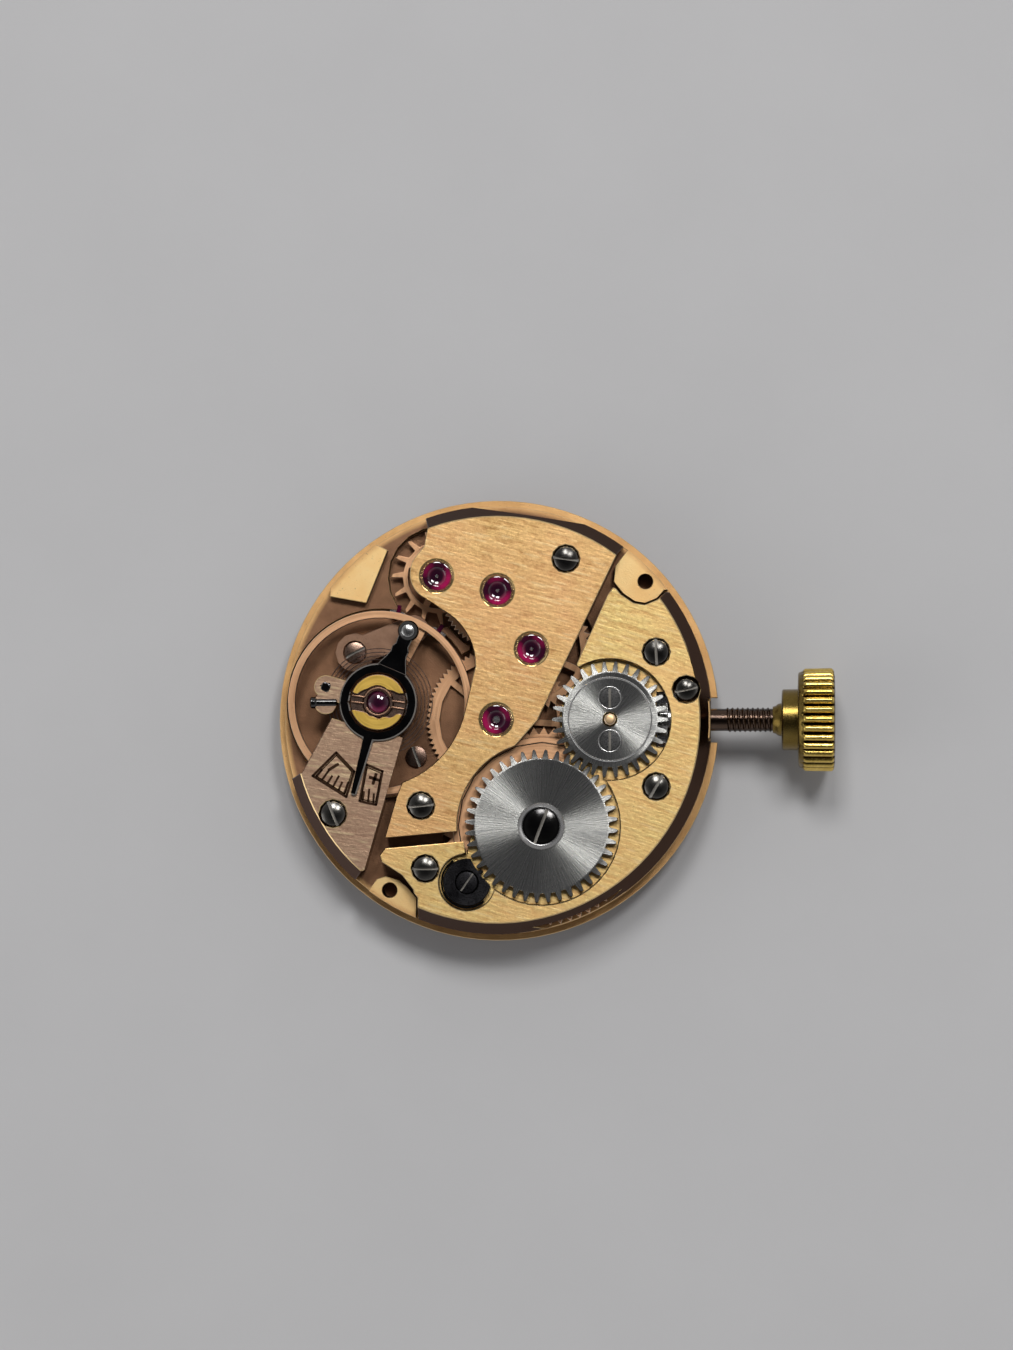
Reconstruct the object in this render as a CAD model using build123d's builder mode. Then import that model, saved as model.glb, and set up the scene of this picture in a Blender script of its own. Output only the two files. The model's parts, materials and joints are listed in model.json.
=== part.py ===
from build123d import *
import math
import os

# A hand-wound mechanical watch movement of 7 3/4 lines with seventeen jewels, lying dial side down.
# The dial seat is at z 0, every wheel turns about an upright axis, and the winding stem lies
# along +X to the crown. The origin is the center of the movement. Lengths are in millimeters.

# Case fit and the main heights over the dial seat
flange_radius = 8.75
flange_height = 0.45
ring_radius = 8.48
seat_height = 0.90
bridge_underside = 1.65
bridge_top = 2.25
bevel_top_radius = 8.03
bevel_foot_height = 1.50
dial_recess_depth = 0.32
lug_top = 1.45
pad_top = 1.30

# Gaps, and how far a cut runs past its face
pivot_gap = 0.015
turning_gap = 0.03
thread_gap = 0.02
level_gap = 0.05
recess_gap = 0.12
edge_gap = 0.10
bridge_parting = 0.30
overrun = 0.60

# Small rounds have flat sides: how many for which radius, up to each limit
pin_limit = 0.29
pin_sides = 8
boss_limit = 0.85
boss_sides = 12
head_limit = 1.20
head_sides = 16
ring_limit = 1.90
ring_sides = 24
recess_sides = 20

# Going train: teeth, modules and the direction from each axis to the next
barrel_teeth = 60
center_pinion_teeth = 12
barrel_module = 0.1267
barrel_turn = -67.1
center_teeth = 80
third_pinion_teeth = 8
center_module = 0.0707
third_turn = 63.55
third_teeth = 48
fourth_pinion_teeth = 8
third_module = 0.0954
fourth_turn = 120.3
fourth_teeth = 66
escape_pinion_teeth = 6
fourth_module = 0.0686
escape_turn = 166.4
wheel_thickness = 0.12
hub_radius = 0.62
tooth_root_share = 1.4
arm_width = 0.26
arm_count = 5
center_arm_start = 140.6
center_rim_width = 0.38
small_rim_width = 0.26
wheel_root_share = 0.5
leaf_root_share = 0.30
center_wheel_height = 0.55
third_wheel_height = 0.85
fourth_wheel_height = 1.15
escape_wheel_height = 0.75
center_pinion_bottom = 1.25
center_pinion_top = 1.64
third_pinion_heights = (0.50, 0.80)
fourth_pinion_heights = (0.78, 1.04)
escape_pinion_heights = (1.08, 1.36)

# Arbors and the jewels that they turn in
arbor_radius = 0.17
pivot_radius = 0.07
pivot_length = 0.24
center_arbor_radius = 0.30
center_pivot_radius = 0.15
jewel_radius = 0.58
jewel_thickness = 0.22
sink_radius = 0.68
sink_depth = 0.12
plate_jewel_radius = 0.42
center_jewel_radius = 0.50
pallet_jewel_radius = 0.21

# Barrel
drum_bottom = 0.72
drum_top = 1.72
drum_radius = 3.52
drum_wall = 0.20
drum_floor = 0.12
drum_teeth_bottom = 1.28
drum_teeth_top = 1.60
cover_thickness = 0.12
barrel_arbor_radius = 0.60
barrel_core_radius = 0.72
barrel_pivot_radius = 0.35
mainspring_thickness = 0.09
mainspring_turns = 6
mainspring_sides = 12
mainspring_margin = 0.06

# Winding wheels on the barrel bridge
winding_module = 0.1429
ratchet_teeth = 40
crown_wheel_teeth = 30
ratchet_tip_radius = 3.03
crown_wheel_tip_radius = 2.31
winding_tooth_depth = 0.30
winding_wheel_thickness = 0.30
winding_recess_floor = 1.93
winding_recess_gap = 0.09
square_side = 0.72
ratchet_screw_radius = 0.93
ratchet_screw_height = 0.20
ratchet_screw_bevel = 0.17
ratchet_screw_edge = 0.05
ratchet_screw_slot = 69
ratchet_overhang = 0.40
ratchet_side_turns = (160, 110, 66)
crown_wheel_overhang = 0.30
crown_side_turns = (205, 160, 118)
core_collar_radius = 1.36
core_radius = 1.66
core_thickness = 0.09
core_screw_offset = 0.85
core_screw_radius = 0.42
core_screw_slot = 90
core_pin_radius = 0.27
click_radius = 1.04
click_turn = -143.0
click_distance = 3.68
click_beak_depth = 0.12
click_beak_width = 0.16
click_spring_width = 0.07
click_spring_angle = 170
click_height = 0.26
click_screw_slot = 55

# Keyless works along the stem
stem_height = 1.06
stem_radius = 0.44
stem_square = 0.50
stem_pilot_radius = 0.20
stem_pilot_start = 3.85
stem_square_start = 4.95
stem_round_start = 6.34
stem_groove_at = 7.27
stem_groove_width = 0.36
stem_groove_radius = 0.28
stem_seat_radius = 0.35
stem_wall = 0.30
crown_hub_start = 11.23
crown_hub_length = 0.66
crown_hub_radius = 1.21
crown_cone_start = 10.89
crown_cone_radius = 0.90
crown_length = 1.46
crown_radius = 2.03
crown_flutes = 32
crown_flute_depth = 0.13
crown_edge = 0.16
crown_pull = 0.45
winding_pinion_teeth = 14
winding_pinion_radius = 1.02
winding_pinion_start = 6.36
winding_pinion_end = 7.04
winding_tooth_length = 0.40
winding_collar_radius = 0.66
breguet_teeth = 6
breguet_depth = 0.12
clutch_start = 5.10
clutch_end = 6.22
clutch_radius = 0.70
clutch_groove_at = 5.62
clutch_groove_width = 0.34
clutch_groove_radius = 0.50
keyless_level = 0.08
keyless_thickness = 0.18
lever_pivot = (7.49, 1.18)
lever_boss_radius = 0.50
lever_arm_width = 0.34
lever_pin_radius = 0.13
lever_tail_turn = 128.0
lever_tail_length = 1.20
yoke_pivot = (5.00, 2.60)
yoke_boss_radius = 0.36
yoke_post_radius = 0.15
yoke_arm_width = 0.34
yoke_tip_width = 0.22
yoke_tip_length = 0.70
yoke_tip_top = 0.53
jumper_screw = (4.55, 3.75)
jumper_boss_radius = 0.42
jumper_blade_width = 0.18
jumper_tip_gap = 0.10
jumper_tip_turn = 12
blade_spring_width = 0.10
blade_spring_foot = (3.35, 3.05)

# Motion works under the dial
motion_module = 0.12
cannon_teeth = 10
minute_teeth = 30
minute_turn = -49.2
minute_pinion_teeth = 8
hour_teeth = 32
setting_teeth = 17
hour_wheel_level = 0.03
minute_wheel_level = 0.17
motion_thickness = 0.10
cannon_radius = 0.42
cannon_end = -1.10
hand_seat_radius = 0.38
hand_seat_length = 0.34
hour_tube_radius = 0.62
hour_tube_end = -0.70
minute_post_radius = 0.20

# Escapement and balance
escape_teeth = 15
escape_radius = 1.90
escape_tooth_depth = 0.46
escape_rim_width = 0.20
escape_hub_radius = 0.43
escape_arm_count = 4
escape_lead_share = 0.25
club_tooth_shares = ((-0.36, 0), (-0.16, 0.88), (0, 1), (0.02, 0.80), (0.02, 0))
pallet_distance = 2.255
balance_distance = 3.24
line_turn = -114.8
pallet_level = 0.72
pallet_thickness = 0.16
pallet_arm_width = 0.26
pallet_lever_width = 0.20
pallet_stone_width = 0.15
pallet_stone_length = 0.46
pallet_stone_height = 0.24
pallet_stone_tilt = 14
stone_half_span = 30
horn_reach = 0.50
horn_slot_width = 0.20
horn_width = 0.50
pallet_arbor_top = 1.10
pallet_cock_bottom = 0.95
pallet_cock_top = 1.12
pallet_cock_width = 1.10
pallet_cock_foot_radius = 0.78
balance_radius = 3.65
balance_rim_width = 0.28
balance_bottom = 1.22
balance_rim_height = 0.34
balance_arm_height = 0.14
balance_arm_width = 0.55
balance_hub_radius = 0.80
balance_arm_turn = 62.0
balance_recess_gap = 0.10
staff_radius = 0.20
staff_pivot_radius = 0.05
staff_pivot_length = 0.14
roller_radius = 0.74
roller_bottom = 0.96
roller_thickness = 0.10
impulse_orbit = 0.56
impulse_radius = 0.08
impulse_bottom = 0.76
collet_radius = 0.40
collet_bottom = 1.61
collet_height = 0.22
hairspring_bottom = 1.66
hairspring_height = 0.14
hairspring_thickness = 0.04
hairspring_turns = 6
hairspring_sides = 15
stud_turn = 163.6
stud_distance = 2.17
stud_side = 0.30
stud_ear_radius = 0.46
stud_screw_drop = 0.62
stud_screw_radius = 0.09
stud_screw_head_radius = 0.16
stud_screw_head_length = 0.16
stud_screw_length = 0.90

# Balance cock, regulator and shock settings
cock_arm_bottom = 1.90
cock_head_radius = 1.50
regulator_bottom = 2.27
regulator_thickness = 0.12
regulator_ring_radius = 1.53
regulator_tail_turn = -105.0
regulator_tail_length = 3.80
regulator_tail_start_width = 0.45
regulator_tail_end_width = 0.22
regulator_arm_turn = 67.0
regulator_arm_length = 3.06
regulator_arm_width = 0.42
curb_pin_radius = 0.04
curb_boot_radius = 0.26
shock_radius = 1.12
shock_top = 2.44
shock_well_radius = 0.62
shock_jewel_radius = 0.36
shock_floor = 0.12
shock_spring_thickness = 0.06
shock_slot_width = 0.44
lower_shock_radius = 0.80

# Screws
screw_radius = 0.51
screw_head_height = 0.30
screw_head_rise = 0.02
screw_sink_gap = 0.05
screw_bevel = 0.05
shank_radius = 0.24
slot_width = 0.12
slot_depth = 0.10
small_screw_radius = 0.42
small_screw_height = 0.16
pallet_screw_slot = 40
recess_screw_slot = 20
lever_screw_slot = 5
case_screw_radius = 0.30
case_screw_depth = 1.10
dial_foot_radius = 0.35
dial_foot_depth = 0.60
dial_foot_distance = 7.45
dial_foot_turns = (76, 216)

# Places as shares of the flange radius, because they follow the outline of the plate
train_screw_shares = ((0.314, 0.725), (-0.341, -0.388))
train_screw_slots = (-8, 5)
barrel_screw_shares = ((0.721, 0.304), (0.721, -0.302), (-0.321, -0.672))
barrel_screw_slots = (93, 60, 0)
cock_screw_share = (-0.739, -0.424)
cock_screw_slot = -65
pallet_screw_share = (-0.650, 0.307)
recess_screw_share = (-0.375, -0.165)
case_screw_shares = ((0.670, 0.625), (-0.488, -0.770))

# Outlines of the bridges as shares of the flange radius
train_edge_shares = (
    (0.186, -0.002),
    (0.543, 0.744),
    (0.62, 0.85),
    (-0.36, 1.00),
    (-0.310, 0.870),
    (-0.326, 0.783),
)
train_head_shares = ((-0.359, 0.744), (-0.389, 0.638), (-0.319, 0.545))
train_side_shares = (
    ((-0.240, 0.493), (-0.121, 0.367), (-0.094, 0.241)),
    ((-0.094, 0.241), (-0.120, 0.130), (-0.141, 0.042)),
    ((-0.141, 0.042), (-0.259, -0.178), (-0.425, -0.283)),
)
train_tail_shares = ((-0.451, -0.350), (-0.504, -0.535), (-0.174, -0.505), (-0.165, -0.40))
barrel_edge_shares = (
    (0.361, 0.245),
    (0.502, 0.560),
    (0.527, 0.595),
    (0.57, 0.578),
    (0.75, 0.75),
    (1.05, 0),
    (0.75, -0.75),
    (0, -1.05),
    (-0.366, -0.92),
    (-0.366, -0.853),
    (-0.373, -0.767),
    (-0.425, -0.701),
    (-0.518, -0.641),
    (-0.527, -0.612),
    (-0.504, -0.582),
    (-0.147, -0.550),
    (-0.137, -0.605),
)
cock_edge_shares = (
    (-0.745, 0.007),
    (-0.878, -0.238),
    (-1.00, -0.30),
    (-0.75, -0.85),
    (-0.610, -0.683),
    (-0.597, -0.680),
    (-0.422, -0.079),
)
upper_lug_shares = (
    (0.534, 0.697),
    (0.60, 0.78),
    (0.86, 0.60),
    (0.755, 0.585),
    (0.722, 0.549),
    (0.669, 0.527),
    (0.623, 0.535),
    (0.570, 0.571),
    (0.527, 0.624),
)
lower_lug_shares = (
    (-0.597, -0.790),
    (-0.45, -0.95),
    (-0.37, -0.95),
    (-0.366, -0.806),
    (-0.404, -0.760),
    (-0.445, -0.724),
    (-0.504, -0.707),
    (-0.547, -0.720),
)
pad_shares = (
    (-0.759, 0.611),
    (-0.62, 0.83),
    (-0.501, 0.770),
    (-0.597, 0.531),
    (-0.762, 0.561),
)


def around(axis, radius, degrees):
    """A point at a radius and an angle round an axis."""
    turn = math.radians(degrees)
    return (axis[0] + radius * math.cos(turn), axis[1] + radius * math.sin(turn))


def level(axis, height):
    """The level plane at a height whose origin is on an upright axis."""
    return Plane((axis[0], axis[1], height))


def scaled(shares, size=flange_radius):
    """Points given as shares of a size."""
    return [(share[0] * size, share[1] * size) for share in shares]


def direction(start, end):
    """The angle from one point to another, in degrees."""
    return math.degrees(math.atan2(end[1] - start[1], end[0] - start[0]))


def meshed_start(other_start, other_teeth, turn, teeth):
    """The first tooth's angle on a wheel that lies at an angle from the wheel it meshes with."""
    lead_share = ((turn - other_start) / (360 / other_teeth)) % 1
    return turn + 180 + (lead_share + 0.5) * 360 / teeth


def gear_points(teeth, root_radius, tip_radius, start, root_share, tip_share=0):
    """The outline of a toothed wheel, with half the width of a tooth as shares of the pitch."""
    pitch = 360 / teeth
    points = []
    for tooth in range(teeth):
        middle = start + tooth * pitch
        points.append(around((0, 0), root_radius, middle - root_share * pitch))
        if tip_share > 0:
            points.append(around((0, 0), tip_radius, middle - tip_share * pitch))
        points.append(around((0, 0), tip_radius, middle + tip_share * pitch))
        if root_share < wheel_root_share:
            points.append(around((0, 0), root_radius, middle + root_share * pitch))
    return points


def outline_face(plane, points):
    """A flat face inside a closed outline of straight edges."""
    with BuildSketch(plane) as face:
        with BuildLine():
            Polyline(*points, close=True)
        make_face()
    return face.sketch


def root_radius_of(teeth, module):
    """The radius at the bottom of a train wheel's teeth."""
    return teeth * module / 2 - tooth_root_share * module


def gear_face(plane, teeth, module, start, root_share=wheel_root_share):
    """A train wheel's toothed face, with its root and tip measured from the pitch circle."""
    tip_radius = teeth * module / 2 + module
    root_radius = root_radius_of(teeth, module)
    return outline_face(plane, gear_points(teeth, root_radius, tip_radius, start, root_share))


def sides_of(radius):
    """The number of flat sides that stand for a circle of a radius."""
    if radius < pin_limit:
        return pin_sides
    if radius < boss_limit:
        return boss_sides
    if radius < head_limit:
        return head_sides
    if radius < ring_limit:
        return ring_sides
    return recess_sides


def disc(axis, bottom, top, radius, mode=Mode.ADD):
    """A disc or hole between two heights, with flat sides in place of its circle."""
    with BuildSketch(level(axis, bottom)) as figure:
        RegularPolygon(radius, sides_of(radius))
    extrude(figure.sketch, amount=top - bottom, mode=mode)


def true_disc(axis, bottom, top, radius, mode=Mode.ADD):
    """A truly round disc or hole between two heights."""
    with BuildSketch(level(axis, bottom)) as circle:
        Circle(radius)
    extrude(circle.sketch, amount=top - bottom, mode=mode)


def cone(axis, start, end, radius, end_radius, mode=Mode.ADD):
    """A disc or hole from one height to another whose radius changes on the way."""
    with BuildSketch(level(axis, start)) as figure:
        RegularPolygon(radius, sides_of(radius))
    slant = math.degrees(math.atan2(radius - end_radius, abs(end - start)))
    extrude(figure.sketch, amount=end - start, taper=slant, mode=mode)


def stem_disc(start, end, radius, mode=Mode.ADD):
    """A disc or hole along the stem, with flat sides in place of its circle."""
    with BuildSketch(across_stem(start)) as figure:
        RegularPolygon(radius, sides_of(radius))
    extrude(figure.sketch, amount=end - start, mode=mode)


def true_stem_disc(start, end, radius, mode=Mode.ADD):
    """A truly round disc or hole along the stem."""
    with BuildSketch(across_stem(start)) as circle:
        Circle(radius)
    extrude(circle.sketch, amount=end - start, mode=mode)


def strap(plane, length, width, thickness, turn, mode=Mode.ADD):
    """A bar from the plane's origin along an angle."""
    with BuildSketch(plane) as bar:
        Rectangle(length, width, rotation=turn, align=(Align.MIN, Align.CENTER))
    extrude(bar.sketch, amount=thickness, mode=mode)


def turned(axis, outline, mode=Mode.ADD):
    """A turned piece about an upright axis, from (radius, height) points that go upwards."""
    plane = Plane(origin=(axis[0], axis[1], 0), x_dir=(1, 0, 0), z_dir=(0, -1, 0))
    with BuildSketch(plane) as half:
        with BuildLine():
            Polyline((0, outline[0][1]), *outline, (0, outline[-1][1]), close=True)
        make_face()
    revolve(half.sketch, axis=Axis((axis[0], axis[1], 0), (0, 0, 1)), mode=mode)


def across_stem(place):
    """The plane square to the stem at a place along it, with its local Y upwards."""
    return Plane(origin=(place, 0, stem_height), x_dir=(0, 1, 0), z_dir=(1, 0, 0))


def cut_windows(plane, thickness, outer, inner, width, count, start):
    """Cuts the openings between the arms of a wheel."""
    with BuildSketch(plane) as windows:
        RegularPolygon(outer, sides_of(outer))
        RegularPolygon(inner, sides_of(inner), mode=Mode.SUBTRACT)
        for arm in range(count):
            turn = start + arm * 360 / count
            Rectangle(
                outer + width,
                width,
                rotation=turn,
                align=(Align.MIN, Align.CENTER),
                mode=Mode.SUBTRACT,
            )
    extrude(windows.sketch, amount=thickness, mode=Mode.SUBTRACT)


def arbor(axis, bottom, top, radius, end_radius, end_length):
    """An arbor with a thinner pivot at each end."""
    disc(axis, bottom, top, end_radius)
    disc(axis, bottom + end_length, top - end_length, radius)


def jewel(axis, bottom, top, radius, bore):
    """A ring-shaped ruby with a hole for a pivot."""
    disc(axis, bottom, top, radius)
    disc(axis, bottom, top, bore, Mode.SUBTRACT)


def slotted_screw(place, top, slot_turn, radius, head_height, end):
    """A screw with a slotted head, from the top of its head to the end of its shank."""
    disc(place, end, top - head_height, shank_radius)
    disc(place, top - head_height, top, radius)
    with BuildSketch(level(place, top - slot_depth)) as slot:
        Rectangle(2 * radius + overrun, slot_width, rotation=slot_turn)
    extrude(slot.sketch, amount=slot_depth + overrun, mode=Mode.SUBTRACT)


def rim_blank(bottom):
    """The turned blank of a bridge, with the bevel that runs round the movement."""
    turned(
        (0, 0),
        [(ring_radius, bottom), (ring_radius, bevel_foot_height), (bevel_top_radius, bridge_top)],
        mode=Mode.INTERSECT,
    )


def clear_of_lugs():
    """Keeps a bridge clear of the raised lugs of the plate."""
    for shares in (upper_lug_shares, lower_lug_shares, pad_shares):
        lug = outline_face(level(center_axis, seat_height), scaled(shares))
        extrude(offset(lug, amount=edge_gap, mode=Mode.PRIVATE), amount=bridge_top, mode=Mode.SUBTRACT)


def screw_seats(places):
    """The sunk seats and clear holes of a bridge's screws."""
    for place in places:
        disc(
            place,
            bridge_top - screw_head_height,
            bridge_top + overrun,
            screw_radius + screw_sink_gap,
            Mode.SUBTRACT,
        )
        disc(place, 0, bridge_top, shank_radius + thread_gap, Mode.SUBTRACT)


def jewel_seats(places):
    """The holes of a bridge's jewels, each with its polished sink."""
    for place in places:
        disc(place, bridge_underside - overrun, bridge_top, jewel_radius, Mode.SUBTRACT)
        cone(place, bridge_top, bridge_top - sink_depth, sink_radius, jewel_radius, Mode.SUBTRACT)


def coiled_band(plane, inner_radius, outer_radius, turns, turn_sides, thickness, height):
    """A flat spiral spring of short straight lengths, from a formula, and its least gap to itself."""
    steps = turn_sides * turns
    sides = []
    for side in (-thickness / 2, thickness / 2):
        edge = []
        for step in range(steps + 1):
            radius = inner_radius + (outer_radius - inner_radius) * step / steps
            edge.append(around((0, 0), radius + side, 360 * step / turn_sides))
        sides.append(edge)
    extrude(outline_face(plane, [*sides[0], *reversed(sides[1])]), amount=height)
    gaps = []
    for index, point in enumerate(sides[1]):
        for other in sides[0][index + turn_sides // 2 :]:
            gaps.append(math.dist(point, other))
    return min(gaps)


# Axes of the wheels, from the pitch circles that meet
center_axis = (0, 0)
barrel_axis = around(center_axis, (barrel_teeth + center_pinion_teeth) * barrel_module / 2, barrel_turn)
third_axis = around(center_axis, (center_teeth + third_pinion_teeth) * center_module / 2, third_turn)
fourth_axis = around(third_axis, (third_teeth + fourth_pinion_teeth) * third_module / 2, fourth_turn)
escape_axis = around(fourth_axis, (fourth_teeth + escape_pinion_teeth) * fourth_module / 2, escape_turn)
pallet_axis = around(escape_axis, pallet_distance, line_turn)
balance_axis = around(pallet_axis, balance_distance, line_turn)
winding_distance = (ratchet_teeth + crown_wheel_teeth) * winding_module / 2
crown_wheel_axis = (barrel_axis[0] + math.sqrt(winding_distance**2 - barrel_axis[1] ** 2), 0)
minute_distance = (cannon_teeth + minute_teeth) * motion_module / 2
minute_axis = around(center_axis, minute_distance, minute_turn)
hour_module = 2 * minute_distance / (minute_pinion_teeth + hour_teeth)
setting_distance = (minute_teeth + setting_teeth) * motion_module / 2
setting_axis = (minute_axis[0] + math.sqrt(setting_distance**2 - minute_axis[1] ** 2), 0)

# Turns that make the teeth of each pair stand in each other's gaps
barrel_start = barrel_turn + 180
center_pinion_start = meshed_start(barrel_start, barrel_teeth, barrel_turn + 180, center_pinion_teeth)
third_pinion_start = meshed_start(third_turn, center_teeth, third_turn, third_pinion_teeth)
fourth_pinion_start = meshed_start(fourth_turn, third_teeth, fourth_turn, fourth_pinion_teeth)
escape_pinion_start = meshed_start(escape_turn, fourth_teeth, escape_turn, escape_pinion_teeth)
ratchet_turn = direction(crown_wheel_axis, barrel_axis)
ratchet_start = meshed_start(0, crown_wheel_teeth, ratchet_turn, ratchet_teeth)
winding_pinion_turn = 90 + 180 / winding_pinion_teeth
minute_start = meshed_start(minute_turn, cannon_teeth, minute_turn, minute_teeth)
setting_turn = direction(minute_axis, setting_axis)
setting_start = meshed_start(minute_start, minute_teeth, setting_turn, setting_teeth)
hour_start = meshed_start(minute_turn + 180, minute_pinion_teeth, minute_turn + 180, hour_teeth)

# Heights and radii that follow from the pieces above
upper_jewel_bottom = bridge_top - sink_depth - jewel_thickness
upper_pivot_end = bridge_top - sink_depth
lower_jewel_bottom = flange_height - jewel_thickness
recess_floor = flange_height
center_tip_radius = center_teeth * center_module / 2 + center_module
third_tip_radius = third_teeth * third_module / 2 + third_module
fourth_tip_radius = fourth_teeth * fourth_module / 2 + fourth_module
barrel_tip_radius = barrel_teeth * barrel_module / 2 + barrel_module
train_recesses = (
    (center_axis, center_tip_radius + recess_gap),
    (third_axis, third_tip_radius + recess_gap),
    (fourth_axis, fourth_tip_radius + recess_gap),
    (escape_axis, escape_radius + recess_gap),
)
motion_recesses = (
    (center_axis, hour_teeth, hour_module),
    (minute_axis, minute_teeth, motion_module),
    (setting_axis, setting_teeth, motion_module),
)
dial_posts = (
    (minute_axis, minute_post_radius),
    (setting_axis, minute_post_radius),
    (yoke_pivot, yoke_post_radius),
    (jumper_screw, yoke_post_radius),
)
barrel_recess_radius = barrel_tip_radius + edge_gap
barrel_recess_top = drum_top + level_gap
balance_recess_radius = balance_radius + balance_recess_gap
click_axis = around(barrel_axis, click_distance, click_turn)
winding_wheel_bottom = winding_recess_floor + level_gap / 2
winding_wheel_top = winding_wheel_bottom + winding_wheel_thickness
clutch_pocket_radius = clutch_radius + level_gap
pinion_pocket_radius = winding_pinion_radius + level_gap
stud_axis = around(balance_axis, stud_distance, stud_turn)
stud_screw_place = (stud_axis[0], stud_axis[1] - stud_screw_drop)
hairspring_inner_radius = collet_radius + hairspring_thickness / 2 + thread_gap
hairspring_pitch = (stud_distance - hairspring_inner_radius) / hairspring_turns
curb_distance = stud_distance - hairspring_pitch * (stud_turn - regulator_arm_turn) / 360
train_screws = scaled(train_screw_shares)
barrel_screws = scaled(barrel_screw_shares)
cock_screw = scaled((cock_screw_share,))[0]
pallet_screw = scaled((pallet_screw_share,))[0]
recess_screw = scaled((recess_screw_share,))[0]
case_screws = scaled(case_screw_shares)
dial_feet = [around(center_axis, dial_foot_distance, turn) for turn in dial_foot_turns]
lower_jewel_axes = (third_axis, fourth_axis, escape_axis, pallet_axis)
screw_top = bridge_top + screw_head_rise
stud_screw_plane = Plane(
    origin=(stud_screw_place[0] - stud_ear_radius, stud_screw_place[1], (cock_arm_bottom + bridge_top) / 2),
    x_dir=(0, 1, 0),
    z_dir=(-1, 0, 0),
)
shank_end = flange_height / 2

os.makedirs("parts", exist_ok=True)


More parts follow.
